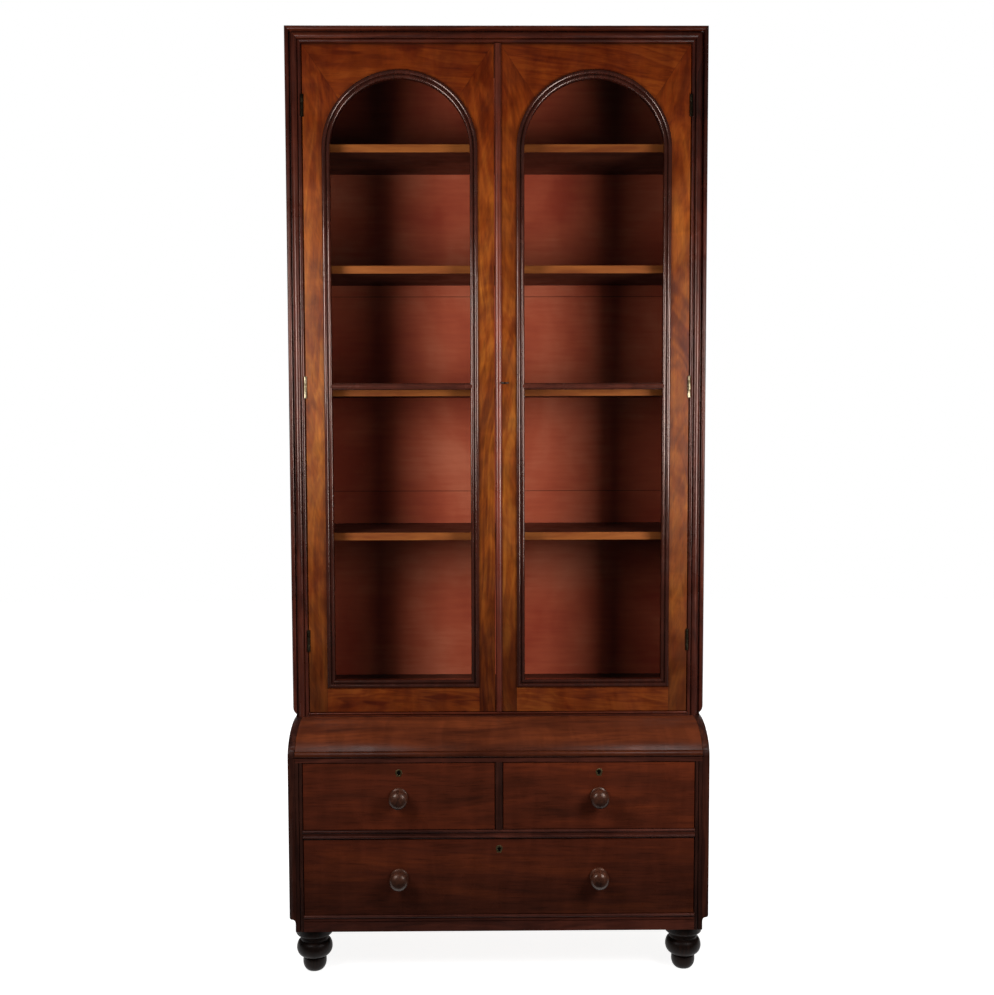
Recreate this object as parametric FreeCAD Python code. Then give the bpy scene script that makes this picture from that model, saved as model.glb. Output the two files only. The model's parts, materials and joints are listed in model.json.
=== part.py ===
import FreeCAD, Part

import math
import os

from FreeCAD import Vector

# Glazed display cabinet: a glazed upper case with two arched doors, set back on a chest of drawers.
# Millimetres. The front faces -Y, +X is to the viewer's right and +Z is up. The origin is on the floor,
# in the middle of the whole cabinet's footprint.

# Chest, outside sizes and levels from the floor up
chest_width = 1050.0
chest_depth = 495.0
foot_height = 120.0
plinth_height = 42.0
long_opening_height = 195.0
middle_rail_height = 22.0
short_opening_height = 172.0
frieze_rail_height = 11.0
frieze_height = 72.0
cushion_depth = 132.0

# Chest boards
chest_side_thickness = 17.0
chest_top_thickness = 18.0
back_thickness = 12.0
chest_back_rebate = 6.0
front_stile_width = 18.0
front_stile_depth = 30.0
rail_depth = 42.0
divider_width = 18.0
divider_round = 4.0
bead_width = 8.0
bead_quirk = 1.5
rail_sink = 1.5
plinth_groove = 2.0
plinth_fillet = 5.0
plinth_step = 14.5
plinth_board_height = 22.0
plinth_thickness = 22.0
ogee_round = 6.0
ogee_step = 2.0

# Drawer supports
runner_height = 12.0
runner_width = 48.0
guide_height = 20.0
guide_clearance = 1.0
centre_guide_width = 18.0
centre_runner_width = 60.0
dust_board_thickness = 6.0
dust_board_rise = 3.0

# Turned feet
foot_set_back = 57.0
foot_set_in = 54.0
foot_flange_radius = 47.0
foot_neck_radius = 35.0
foot_bulb_radius = 45.2
foot_waist_radius = 28.0
foot_ball_radius = 30.0
foot_sole_radius = 13.0
foot_flange_share = 0.825
foot_neck_share = 0.66
foot_bulb_share = 0.485
foot_waist_share = 0.29
foot_ball_share = 0.185
foot_spigot_radius = 12.0
foot_spigot_length = 25.0
corner_block_size = 60.0
corner_block_height = 30.0

# Drawers
drawer_sink = 3.0
drawer_front_thickness = 20.0
drawer_side_gap = 2.0
drawer_top_gap = 2.0
drawer_foot_gap = 1.5
drawer_running_gap = 0.3
drawer_board = 10.0
drawer_bottom_thickness = 6.0
drawer_bottom_lift = 7.0
drawer_groove = 4.0
drawer_back_clearance = 24.0
drawer_side_drop = 6.0
dovetail_length = 14.0
dovetail_root = 22.0
dovetail_tip = 30.0
dovetail_pitch = 48.0

# Frieze drawer
frieze_gap = 0.8
frieze_shell_front = 24.0
frieze_top_clearance = 2.0
frieze_bead_radius = 8.0
frieze_bead_proud = 4.0
frieze_bead_back = 6.0
frieze_side_set_in = 2.0

# Turned knobs
knob_length = 48.0
knob_collar_radius = 20.0
knob_neck_radius = 12.5
knob_head_radius = 24.0
knob_face_radius = 17.0
knob_spigot_radius = 8.0
knob_collar_share = 0.1
knob_neck_share = 0.26
knob_rim_share = 0.56
knob_lip_share = 0.76

# Locks and brass thread escutcheons
escutcheon_drop = 26.0
escutcheon_radius = 9.0
escutcheon_proud = 0.6
escutcheon_sunk = 1.4
keyhole_radius = 2.6
keyhole_slot_width = 3.4
keyhole_slot_length = 8.5
lock_width = 56.0
lock_height = 40.0
lock_thickness = 9.0

# Upper case
upper_height = 1750.0
upper_set_in = 3.0
upper_side_thickness = 24.0
upper_top_thickness = 24.0
upper_top_drop = 10.0
upper_floor_thickness = 22.0
upper_floor_lift = 14.0
upper_housing = 10.0
floor_housing = 8.0
board_lap = 8.0
back_joint_shares = (0.324, 0.639)

# Moulded surround, from its outer edge inwards
surround_thickness = 31.0
surround_overhang = 9.0
fillet_width = 10.0
fillet_drop = 2.0
fillet_arris = 2.0
groove_width = 5.0
groove_depth = 9.0
roll_width = 16.0
roll_rise = 6.0
quirk_width = 2.0
quirk_depth = 4.0
ovolo_width = 8.0
ovolo_drop = 5.0
ovolo_fall = 5.0
stop_height = 24.0
stop_foot = 8.0

# Sill under the doors
sill_height = 10.0
sill_nosing = 5.0
sill_nosing_set_back = 3.0
sill_neck_set_back = 8.0
sill_depth = 50.0

# Shelves
shelf_thickness = 20.0
shelf_place_shares = (0.26, 0.4835, 0.671, 0.854)
shelf_set_back = 30.0
shelf_clearance = 1.0
bearer_height = 18.0
bearer_thickness = 14.0
bearer_set_back = 12.0

# Doors
door_thickness = 24.0
door_gap = 2.0
meeting_gap = 1.5
meeting_shift = 6.75
hanging_sight_width = 67.0
meeting_sight_width = 69.0
sight_foot = 83.5
sight_head = 85.0
side_rebate = 9.0
glazing_rebate = 7.0
tenon_thickness = 8.0
tenon_wall = 2.7
tenon_shoulder = 12.0
head_tenon_height = 60.0
meeting_bead_width = 15.0
meeting_bead_rise = 7.0

# Glazing mouldings, from the sight edge outwards
ring_width = 21.0
ring_lip_depth = 6.0
inner_bead_width = 8.5
inner_bead_foot = 1.0
inner_bead_rise = 4.5
ring_quirk_width = 1.5
outer_bead_foot = 1.5
outer_bead_rise = 7.0
bar_height = 840.0
bar_width = 14.0
bar_rise = 5.0
bar_edge_rise = 1.0
bar_reach = 6.0
bar_rib_width = 6.0
pane_thickness = 3.0
pane_bite = 5.5
glazing_fillet_depth = 6.0

# Hinges
hinge_place_shares = (0.11, 0.4945, 0.91)
hinge_length = 55.0
hinge_pin_radius = 2.0
hinge_pin_clearance = 0.15
hinge_knuckle_radius = 4.0
hinge_end_gap = 0.3
hinge_swing_clearance = 0.4
hinge_leaf_thickness = 2.0
hinge_leaf_width = 20.0
hinge_proud = 1.5
hinge_knuckle_shares = (0.0, 1 / 3, 2 / 3, 1.0)

# Door lock and key
key_shift = 18.0
key_rise = 848.0
lock_case_length = 52.0
lock_case_thickness = 11.0
lock_case_below = 26.0
lock_case_above = 22.0
lock_plate = 1.6
bolt_above_key = 4.0
bolt_height = 12.0
bolt_thickness = 5.0
bolt_length = 38.0
bolt_throw = 8.0
bolt_clearance = 0.3
bolt_end_set_in = 0.3
talon_reach = 5.4
talon_width = 6.6
talon_depth = 5.6
key_shank_radius = 2.2
key_bit_length = 8.0
key_bit_thickness = 2.8
key_bit_depth = 4.0
key_chamber_radius = 9.0
key_bow_radius = 11.0
key_bow_hole_radius = 6.5
key_bow_thickness = 3.2
key_stand = 20.0

# Flush bolts of the left door
flush_bolt_shift = 30.0
flush_plate_width = 20.0
flush_plate_length = 110.0
flush_plate_thickness = 2.0
flush_rod_radius = 3.0
flush_rod_length = 80.0
flush_rod_depth = 7.0
flush_rod_set_in = 1.0
flush_clearance = 0.3
flush_knob_radius = 2.5
flush_knob_reach = 5.0
flush_knob_drop = 60.0

# One overrun for every cut that has to pass through its piece
overrun = 5.0

# How finely round work is cut into flats, and how near two points are taken as one
pin_step_angle = math.radians(36)
moulding_step_angle = math.radians(60)
same_point = 1e-6

# Levels
plinth_top = foot_height + plinth_height
long_top = plinth_top + long_opening_height
short_foot = long_top + middle_rail_height
short_top = short_foot + short_opening_height
frieze_foot = short_top + frieze_rail_height
chest_top = frieze_foot + frieze_height
upper_top = chest_top + upper_height
upper_board_top = upper_top - upper_top_drop
upper_board_foot = upper_board_top - upper_top_thickness
upper_floor_foot = chest_top + upper_floor_lift
upper_floor_top = upper_floor_foot + upper_floor_thickness
plinth_ledge = foot_height + plinth_board_height

# Planes across the cabinet
half_chest = chest_width / 2
chest_inner = half_chest - chest_side_thickness
opening_side = chest_inner - front_stile_width
plinth_side = half_chest - plinth_step
half_upper = half_chest - upper_set_in
upper_inner = half_upper - upper_side_thickness
surround_outer = half_upper + surround_overhang
surround_width = fillet_width + groove_width + roll_width + quirk_width + ovolo_width
surround_inner = surround_outer - surround_width
door_edge = surround_inner - door_gap

# Planes from front to back
front_reach = knob_length - drawer_sink
chest_front = front_reach - (chest_depth + front_reach) / 2
chest_back = chest_front + chest_depth
back_face = chest_back - back_thickness
upper_front = chest_front + cushion_depth
case_front = upper_front + surround_thickness
door_face = case_front - door_thickness
drawer_face = chest_front + drawer_sink
drawer_inside = drawer_face + drawer_front_thickness
drawer_end = back_face - drawer_back_clearance

# Glass across each door
sight_inner = meeting_sight_width
sight_outer = door_edge - hanging_sight_width
glass_centre = (sight_inner + sight_outer) / 2
glass_half_width = (sight_outer - sight_inner) / 2

# Door levels
door_foot = chest_top + sill_height + door_gap
door_head = upper_top - surround_width - door_gap
sight_low = door_foot + sight_foot
sight_high = door_head - sight_head
spring_line = sight_high - glass_half_width
bar_level = door_foot + bar_height
key_level = door_foot + key_rise
meeting_right = -meeting_shift + meeting_gap / 2
meeting_left = -meeting_shift - meeting_gap / 2
pane_front = door_face + ring_lip_depth
pane_back = pane_front + pane_thickness
flush_throw = sill_height + door_gap
hinge_axis_x = door_edge + door_gap / 2
hinge_axis_y = door_face - hinge_proud

X_AXIS = Vector(1, 0, 0)
Y_AXIS = Vector(0, 1, 0)
Z_AXIS = Vector(0, 0, 1)
ORIGIN = Vector(0, 0, 0)


def slab(x_span, y_span, z_span):
    """Rectangular board between two planes each way."""
    low = Vector(min(x_span), min(y_span), min(z_span))
    high = Vector(max(x_span), max(y_span), max(z_span))
    size = high.sub(low)
    return Part.makeBox(size.x, size.y, size.z, low)


def on_plan(x, y):
    return Vector(x, y, 0)


def on_front(x, z):
    return Vector(x, 0, z)


def on_side(y, z):
    return Vector(0, y, z)


def flat_face(outline, place):
    """Face inside a closed outline. A corner is (u, v); an arc is (u through, v through, u end, v end)."""
    start = place(*outline[0])
    here = start
    edges = []
    for *through, u, v in outline[1:]:
        end = place(u, v)
        if through:
            edges.append(Part.Arc(here, place(*through), end).toShape())
        else:
            edges.append(Part.makeLine(here, end))
        here = end
    if not here.isEqual(start, same_point):
        edges.append(Part.makeLine(here, start))
    return Part.Face(Part.Wire(edges))


def stepped(outline, step_angle):
    """The same outline with each arc cut into straight stretches that turn by no more than a step angle."""
    points = [outline[0]]
    for *through, u, v in outline[1:]:
        if through:
            arc = Part.Arc(on_plan(*points[-1]), on_plan(*through), on_plan(u, v))
            sweep = arc.LastParameter - arc.FirstParameter
            count = math.ceil(sweep / step_angle)
            points.extend((point.x, point.y) for point in arc.discretize(Number=count + 1)[1:])
        else:
            points.append((u, v))
    return points


def prism_x(outline, x_low, x_high):
    """Outline in (y, z), running along X."""
    face = flat_face(outline, on_side)
    face.translate(X_AXIS * x_low)
    return face.extrude(X_AXIS * (x_high - x_low))


def prism_y(outline, y_low, y_high):
    """Outline in (x, z), running along Y."""
    face = flat_face(outline, on_front)
    face.translate(Y_AXIS * y_low)
    return face.extrude(Y_AXIS * (y_high - y_low))


def prism_z(outline, z_low, z_high):
    """Outline in (x, y), running along Z."""
    face = flat_face(outline, on_plan)
    face.translate(Z_AXIS * z_low)
    return face.extrude(Z_AXIS * (z_high - z_low))


def rod(centre, direction, radius, length):
    return Part.makeCylinder(radius, length, centre, direction)


def peg(centre, direction, radius, length):
    """Small round piece or hole, with as many flats round it as the step angle gives."""
    circle = stepped([(radius, 0), (0, radius, -radius, 0), (0, -radius, radius, 0)], pin_step_angle)
    solid = prism_z(circle, 0, length)
    solid.Placement = FreeCAD.Placement(centre, FreeCAD.Rotation(Z_AXIS, direction))
    return solid


def mirrored(shape):
    """The same shape on the other side of the middle plane."""
    return shape.mirror(ORIGIN, X_AXIS)


def joined(first, *others):
    """One solid out of pieces that touch or overlap."""
    result = first
    for other in others:
        result = result.fuse(other)
    return result.removeSplitter()


def without(shape, *cutters):
    """A shape with every cutter taken out."""
    result = shape
    for cutter in cutters:
        result = result.cut(cutter)
    return result


def group(shapes):
    """Separate solids kept together in one node."""
    solids = []
    for shape in shapes:
        solids.extend(shape.Solids)
    if len(solids) > 1:
        return Part.makeCompound(solids)
    return solids[0]


def quarter_cushion(x_low, x_high, depth, height, foot):
    """Quarter-ellipse prism whose round faces the front, with its corner at the cushion's top edge."""
    corner = on_side(upper_front, foot)
    front_point = on_side(upper_front - depth, foot)
    top_point = on_side(upper_front, foot + height)
    if depth > height:
        ellipse = Part.Ellipse(front_point, top_point, corner)
        arc = Part.ArcOfEllipse(ellipse, 0, math.pi / 2).toShape()
    else:
        ellipse = Part.Ellipse(top_point, front_point, corner)
        arc = Part.ArcOfEllipse(ellipse, 0, math.pi / 2).toShape()
    edges = [arc, Part.makeLine(top_point, corner), Part.makeLine(corner, front_point)]
    face = Part.Face(Part.Wire(Part.__sortEdges__(edges)))
    face.translate(X_AXIS * x_low)
    return face.extrude(X_AXIS * (x_high - x_low))


# Chest

def chest_side():
    """Right side board: cushion curve at the top front corner, ogee along the foot, rebate for the back."""
    side_x = (chest_inner, half_chest)
    board = joined(
        slab(side_x, (chest_front, chest_back), (plinth_ledge, frieze_foot)),
        slab(side_x, (upper_front, chest_back), (frieze_foot, chest_top)),
        quarter_cushion(chest_inner, half_chest, cushion_depth, frieze_height, frieze_foot),
    )
    hollow = plinth_step - ogee_round
    round_foot = plinth_ledge + ogee_step + hollow
    waist_x = half_chest - ogee_round
    round_bow = ogee_round * math.sqrt(1 / 2)
    hollow_bow = hollow * math.sqrt(1 / 2)
    ogee = prism_y(
        [
            (half_chest + overrun, round_foot + ogee_round),
            (half_chest, round_foot + ogee_round),
            (waist_x + round_bow, round_foot + ogee_round - round_bow, waist_x, round_foot),
            (waist_x - hollow_bow, round_foot - hollow + hollow_bow, plinth_side, plinth_ledge + ogee_step),
            (plinth_side, plinth_ledge - overrun),
            (half_chest + overrun, plinth_ledge - overrun),
        ],
        chest_front - overrun,
        chest_back + overrun,
    )
    rebate = slab(
        (chest_inner - overrun, chest_inner + chest_back_rebate),
        (back_face, chest_back + overrun),
        (plinth_ledge - overrun, chest_top + overrun),
    )
    return without(board, ogee, rebate)


def front_stile():
    """Right front stile with a bead along its inner edge."""
    flat = chest_front + rail_sink
    bead_base = chest_front + bead_width / 2
    bead_outer = opening_side + bead_width
    outline = [
        (opening_side, chest_front + front_stile_depth),
        (opening_side, bead_base),
        (opening_side + bead_width / 2, chest_front, bead_outer, bead_base),
        (bead_outer + bead_quirk, bead_base),
        (bead_outer + bead_quirk, flat),
        (chest_inner, flat),
        (chest_inner, chest_front + front_stile_depth),
    ]
    post = prism_z(outline, foot_height, short_top)
    cheek = slab(
        (chest_inner, plinth_side),
        (flat, chest_front + front_stile_depth),
        (foot_height, plinth_ledge),
    )
    return joined(post, cheek)


def middle_rail():
    """Rail between the short drawers and the long one, with a bead along each edge."""
    base = chest_front + bead_width / 2
    flat = chest_front + rail_sink
    half_bead = bead_width / 2
    outline = [
        (chest_front + rail_depth, long_top),
        (base, long_top),
        (chest_front, long_top + half_bead, base, long_top + bead_width),
        (flat + rail_sink, long_top + bead_width),
        (flat + rail_sink, short_foot - bead_width),
        (base, short_foot - bead_width),
        (chest_front, short_foot - half_bead, base, short_foot),
        (chest_front + rail_depth, short_foot),
    ]
    return prism_x(outline, -opening_side, opening_side)


def plinth_rail():
    """Front plinth rail: bead, groove, fillet, groove and a plain board below."""
    base = chest_front + bead_width / 2
    groove = base
    flat = chest_front + rail_sink
    bead_foot = plinth_top - bead_width
    fillet_top = bead_foot - plinth_groove
    fillet_foot = fillet_top - plinth_fillet
    board_top = fillet_foot - plinth_groove
    outline = [
        (chest_front + plinth_thickness, foot_height),
        (flat, foot_height),
        (flat, board_top),
        (groove, board_top),
        (groove, fillet_foot),
        (flat, fillet_foot),
        (flat, fillet_top),
        (groove, fillet_top),
        (groove, bead_foot),
        (chest_front, plinth_top - bead_width / 2, base, plinth_top),
        (chest_front + plinth_thickness, plinth_top),
    ]
    return prism_x(outline, -opening_side, opening_side)


def frieze_rail():
    """Thin rail that the frieze drawer rests on, right across between the sides."""
    front = chest_front + rail_sink
    return slab((-chest_inner, chest_inner), (front, chest_front + rail_depth), (short_top, frieze_foot))


def divider():
    """Upright between the short drawers, with a rounded front."""
    half = divider_width / 2
    shoulder = chest_front + divider_round
    outline = [
        (half, chest_front + rail_depth),
        (half, shoulder),
        (0, chest_front, -half, shoulder),
        (-half, chest_front + rail_depth),
    ]
    return prism_z(outline, short_foot, short_top)


def plinth_end_board():
    """Right plinth board, with the ledge that the chest side stands on."""
    behind_stile = chest_front + front_stile_depth
    inner = chest_inner - plinth_thickness
    board = slab((inner, chest_inner), (behind_stile, back_face), (foot_height, plinth_top))
    lip = slab((chest_inner, plinth_side), (behind_stile, back_face), (foot_height, plinth_ledge))
    return joined(board, lip)


def plinth_back():
    inner = chest_inner - plinth_thickness
    return slab((-inner, inner), (back_face - plinth_thickness, back_face), (foot_height, plinth_top))


def chest_top_board():
    return slab(
        (-chest_inner, chest_inner),
        (upper_front + frieze_gap, back_face),
        (chest_top - chest_top_thickness, chest_top),
    )


def chest_back_board():
    edge = chest_inner + chest_back_rebate
    panel = slab((-edge, edge), (back_face, chest_back), (plinth_ledge, chest_top))
    foot = slab((-chest_inner, chest_inner), (back_face, chest_back), (foot_height, plinth_ledge))
    return joined(panel, foot)


def drawer_runners():
    """Runners, guides and the centre guide that carry the four drawers."""
    behind_rail = chest_front + rail_depth
    inner_plinth = chest_inner - plinth_thickness
    behind_stile = chest_front + front_stile_depth
    guide_x = (opening_side - guide_clearance, chest_inner)
    pieces = []
    for level, foot in ((short_foot, short_foot - runner_height), (frieze_foot, short_top)):
        runner = slab((chest_inner - runner_width, chest_inner), (behind_rail, back_face), (foot, level))
        pieces.extend([runner, mirrored(runner)])
    guide = slab(guide_x, (behind_rail, back_face), (short_foot, short_foot + guide_height))
    pieces.extend([guide, mirrored(guide)])
    low_guide = slab(guide_x, (behind_stile, back_face), (plinth_top, plinth_top + guide_height))
    pieces.extend([low_guide, mirrored(low_guide)])
    low_x = (chest_inner - runner_width, inner_plinth)
    low_front = chest_front + plinth_thickness
    low_end = back_face - plinth_thickness
    low_runner = slab(low_x, (low_front, low_end), (plinth_top - runner_height, plinth_top))
    pieces.extend([low_runner, mirrored(low_runner)])
    half_runner = centre_runner_width / 2
    half_guide = centre_guide_width / 2
    centre_y = (behind_rail, back_face)
    pieces.append(slab((-half_runner, half_runner), centre_y, (short_foot - runner_height, short_foot)))
    pieces.append(slab((-half_guide, half_guide), centre_y, (short_foot, short_foot + guide_height)))
    return pieces


def dust_boards():
    """Thin boards that close each drawer space from the one below."""
    behind_rail = chest_front + rail_depth
    inner = chest_inner - runner_width
    half_runner = centre_runner_width / 2
    frieze_z = (short_top, short_top + dust_board_thickness)
    middle_low = short_foot - runner_height + dust_board_rise
    middle_z = (middle_low, middle_low + dust_board_thickness)
    low = plinth_top - runner_height + dust_board_rise
    low_z = (low, low + dust_board_thickness)
    middle = slab((half_runner, inner), (behind_rail, back_face), middle_z)
    bottom = slab(
        (-inner, inner),
        (chest_front + plinth_thickness, back_face - plinth_thickness),
        low_z,
    )
    return [
        slab((-inner, inner), (behind_rail, back_face), frieze_z),
        middle,
        mirrored(middle),
        bottom,
    ]


# Feet

def foot_outline():
    """Half outline of a turned foot in (radius, height): flange, neck, bulb, waist and ball."""
    return [
        (0, foot_height),
        (foot_flange_radius, foot_height),
        (foot_flange_radius, foot_height * foot_flange_share),
        (foot_neck_radius, foot_height * foot_flange_share),
        (foot_neck_radius, foot_height * foot_neck_share),
        (foot_bulb_radius, foot_height * foot_bulb_share, foot_waist_radius, foot_height * foot_waist_share),
        (foot_ball_radius, foot_height * foot_ball_share, foot_sole_radius, 0),
        (0, 0),
    ]


def turned_foot(x, y):
    """Foot with its spigot, standing at one corner."""
    face = flat_face(stepped(foot_outline(), moulding_step_angle), on_front)
    body = face.revolve(ORIGIN, Z_AXIS, 360)
    foot = joined(body, peg(on_front(0, foot_height), Z_AXIS, foot_spigot_radius, foot_spigot_length))
    foot.translate(on_plan(x, y))
    return foot


def foot_columns():
    """The two x places of the feet."""
    across = half_chest - foot_set_in
    return (-across, across)


def foot_rows():
    """The y place of each pair of feet by name."""
    return {
        "front_feet": chest_front + foot_set_back,
        "back_feet": chest_back - foot_set_back,
    }


def corner_blocks():
    """Blocks in the plinth's corners that the feet's spigots go into."""
    inner = chest_inner - plinth_thickness
    block_z = (foot_height, foot_height + corner_block_height)
    x = max(foot_columns())
    half = corner_block_size / 2
    blocks = []
    for y in foot_rows().values():
        if y < 0:
            y_span = (chest_front + plinth_thickness, y + half)
        else:
            y_span = (y - half, back_face - plinth_thickness)
        block = slab((x - half, inner), y_span, block_z)
        hole = peg(Vector(x, y, foot_height), Z_AXIS, foot_spigot_radius, foot_spigot_length)
        block = without(block, hole)
        blocks.extend([block, mirrored(block)])
    return blocks


# Drawers

def dovetail_heights(foot, top):
    """Middles of the tails that fit on a drawer side."""
    count = max(1, int((top - foot) // dovetail_pitch))
    pitch = (top - foot) / count
    return [foot + pitch * (index + 1 / 2) for index in range(count)]


def tails(x_span, foot, top):
    """Dovetails on the front end of a drawer side."""
    tip = drawer_inside - dovetail_length
    pieces = []
    for height in dovetail_heights(foot, top):
        outline = [
            (drawer_inside, height - dovetail_root / 2),
            (tip, height - dovetail_tip / 2),
            (tip, height + dovetail_tip / 2),
            (drawer_inside, height + dovetail_root / 2),
        ]
        pieces.append(prism_x(outline, *x_span))
    return pieces


def keyhole(x, z, y_low, y_high):
    """Keyhole cutter: a round eye with a slot hanging from it."""
    eye = peg(Vector(x, y_low, z), Y_AXIS, keyhole_radius, y_high - y_low)
    half = keyhole_slot_width / 2
    slot = slab((x - half, x + half), (y_low, y_high), (z - keyhole_slot_length, z))
    return joined(eye, slot)


def turned_knob(x, z):
    """Mushroom knob with its collar and spigot, standing out of a drawer front."""
    collar = drawer_face - knob_length * knob_collar_share
    neck = drawer_face - knob_length * knob_neck_share
    rim = drawer_face - knob_length * knob_rim_share
    lip = drawer_face - knob_length * knob_lip_share
    tip = drawer_face - knob_length
    outline = [
        (0, drawer_face),
        (knob_collar_radius, drawer_face),
        (knob_collar_radius, collar),
        (knob_neck_radius, collar),
        (knob_neck_radius, neck),
        (knob_head_radius, rim),
        (knob_head_radius, lip),
        (knob_face_radius, tip),
        (0, tip),
    ]
    head = flat_face(outline, on_plan).revolve(ORIGIN, Y_AXIS, 360)
    knob = joined(head, peg(on_plan(0, drawer_face), Y_AXIS, knob_spigot_radius, drawer_front_thickness))
    knob.translate(on_front(x, z))
    return knob


def escutcheon(x, z):
    """Brass thread escutcheon let into a drawer front round its keyhole."""
    front = drawer_face - escutcheon_proud
    thickness = escutcheon_proud + escutcheon_sunk
    disc = peg(Vector(x, front, z), Y_AXIS, escutcheon_radius, thickness)
    return without(disc, keyhole(x, z, front - overrun, front + thickness + overrun))


def drawer(x_low, x_high, opening_foot, opening_top, knob_xs):
    """One drawer that fills an opening: front with its knobs, box, and lock with its escutcheon."""
    left = x_low + drawer_side_gap
    right = x_high - drawer_side_gap
    front_foot = opening_foot + drawer_foot_gap
    front_top = opening_top - drawer_top_gap
    side_foot = opening_foot + drawer_running_gap
    side_top = front_top - drawer_side_drop
    middle_x = (left + right) / 2
    knob_z = (opening_foot + opening_top) / 2
    key_z = opening_top - escutcheon_drop

    front = slab((left, right), (drawer_face, drawer_inside), (front_foot, front_top))
    bottom_foot = side_foot + drawer_bottom_lift
    bottom_z = (bottom_foot, bottom_foot + drawer_bottom_thickness)
    groove_left = left + drawer_board - drawer_groove
    groove_right = right - drawer_board + drawer_groove
    bottom = slab((groove_left, groove_right), (drawer_inside - drawer_groove, drawer_end), bottom_z)

    sides = []
    for x_span in ((left, left + drawer_board), (right - drawer_board, right)):
        board = slab(x_span, (drawer_inside, drawer_end), (side_foot, side_top))
        cut_tails = tails(x_span, front_foot, side_top)
        front = without(front, *cut_tails)
        sides.append(without(joined(board, *cut_tails), bottom))
    back = slab(
        (left + drawer_board, right - drawer_board),
        (drawer_end - drawer_board, drawer_end),
        (bottom_foot + drawer_bottom_thickness, side_top - drawer_side_drop),
    )
    front = without(front, bottom)

    knobs = [turned_knob(x, knob_z) for x in knob_xs]
    for x in knob_xs:
        bore = peg(Vector(x, drawer_face, knob_z), Y_AXIS, knob_spigot_radius, drawer_front_thickness)
        front = without(front, bore)

    case_x = (middle_x - lock_width / 2, middle_x + lock_width / 2)
    case_y = (drawer_inside - lock_thickness, drawer_inside)
    case = slab(case_x, case_y, (front_top - lock_height, front_top))
    eye = peg(Vector(middle_x, drawer_face, key_z), Y_AXIS, escutcheon_radius, escutcheon_sunk)
    hole = keyhole(middle_x, key_z, drawer_face - overrun, drawer_inside - lock_thickness / 2)
    front = without(front, case, eye, hole)
    lock = [case, escutcheon(middle_x, key_z)]
    return group([front, *knobs]), group(sides + [back, bottom]), group(lock)


def frieze_drawer():
    """Cushion-fronted frieze drawer: shaped front with its bead, and a shallow box behind it."""
    edge = chest_inner - frieze_gap
    foot = frieze_foot + frieze_gap
    outer_height = chest_top - foot
    cushion = quarter_cushion(-edge, edge, cushion_depth, outer_height, foot)
    hollow_depth = cushion_depth - frieze_shell_front
    hollow_height = outer_height - chest_top_thickness - frieze_top_clearance
    hollow = quarter_cushion(-edge - overrun, edge + overrun, hollow_depth, hollow_height, foot)
    front = without(cushion, hollow)

    bead_y = chest_front - frieze_bead_proud + frieze_bead_radius
    bead_z = foot + frieze_bead_radius
    bead = joined(
        rod(Vector(-edge, bead_y, bead_z), X_AXIS, frieze_bead_radius, edge + edge),
        slab((-edge, edge), (bead_y, bead_y + frieze_bead_back), (foot, bead_z + frieze_bead_radius)),
    )
    seat_y = (chest_front - overrun, bead_y + frieze_bead_back)
    seat = slab((-edge, edge), seat_y, (foot, bead_z + frieze_bead_radius))
    front = without(front, seat)

    side_x = (edge - frieze_side_set_in - drawer_board, edge - frieze_side_set_in)
    side_foot = frieze_foot + drawer_running_gap
    side_top = foot + hollow_height
    bottom_foot = side_foot + drawer_bottom_lift
    bottom_z = (bottom_foot, bottom_foot + drawer_bottom_thickness)
    sides = joined(
        slab(side_x, (upper_front, drawer_end), (side_foot, side_top)),
        quarter_cushion(*side_x, hollow_depth, hollow_height, foot),
    )
    groove_x = side_x[0] + drawer_groove
    hollow_all = quarter_cushion(-groove_x, groove_x, hollow_depth, hollow_height, foot)
    bottom = joined(
        slab((-groove_x, groove_x), (upper_front, drawer_end), bottom_z),
        hollow_all.common(slab((-groove_x, groove_x), (chest_front, upper_front), bottom_z)),
    )
    right_side = without(sides, bottom)
    back = slab(
        (-side_x[0], side_x[0]),
        (drawer_end - drawer_board, drawer_end),
        (bottom_foot + drawer_bottom_thickness, side_top - drawer_side_drop),
    )
    return group([front, bead]), group([right_side, mirrored(right_side), back, bottom])


# Upper case

def surround_profile(outer, inwards, back, forwards, place_order):
    """Moulding outline: u runs from the outer edge inwards, h from the back face forwards."""
    fillet_top = surround_thickness - fillet_drop
    roll_edge = surround_thickness - roll_rise
    ovolo_top = surround_thickness - ovolo_drop
    ovolo_foot = ovolo_top - ovolo_fall
    groove_u = fillet_width
    roll_u = groove_u + groove_width
    quirk_u = roll_u + roll_width
    ovolo_u = quirk_u + quirk_width
    bow_share = math.sqrt(1 / 2)
    ovolo_bow = ovolo_foot + ovolo_fall * bow_share
    steps = [
        (0, 0),
        (0, fillet_top - fillet_arris),
        (fillet_arris, fillet_top),
        (groove_u - fillet_arris, fillet_top),
        (groove_u, fillet_top - fillet_arris),
        (groove_u, fillet_top - groove_depth),
        (roll_u, fillet_top - groove_depth),
        (roll_u, roll_edge),
        (roll_u + roll_width / 2, surround_thickness, quirk_u, roll_edge),
        (quirk_u, roll_edge - quirk_depth),
        (ovolo_u, roll_edge - quirk_depth),
        (ovolo_u, ovolo_top),
        (ovolo_u + ovolo_width * bow_share, ovolo_bow, surround_width, ovolo_foot),
        (surround_width, 0),
    ]

    def placed(u, h):
        pair = (outer + inwards * u, back + forwards * h)
        return pair if place_order else (pair[1], pair[0])

    return [(placed(*through) if through else ()) + placed(u, v) for *through, u, v in steps]


def hinge_levels():
    return [door_foot + (door_head - door_foot) * share for share in hinge_place_shares]


def knuckle_spans():
    """Spans of the three knuckles above a hinge's foot: the frame's, the door's and the frame's again."""
    levels = [hinge_length * share for share in hinge_knuckle_shares]
    return list(zip(levels[:-1], levels[1:]))


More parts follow.
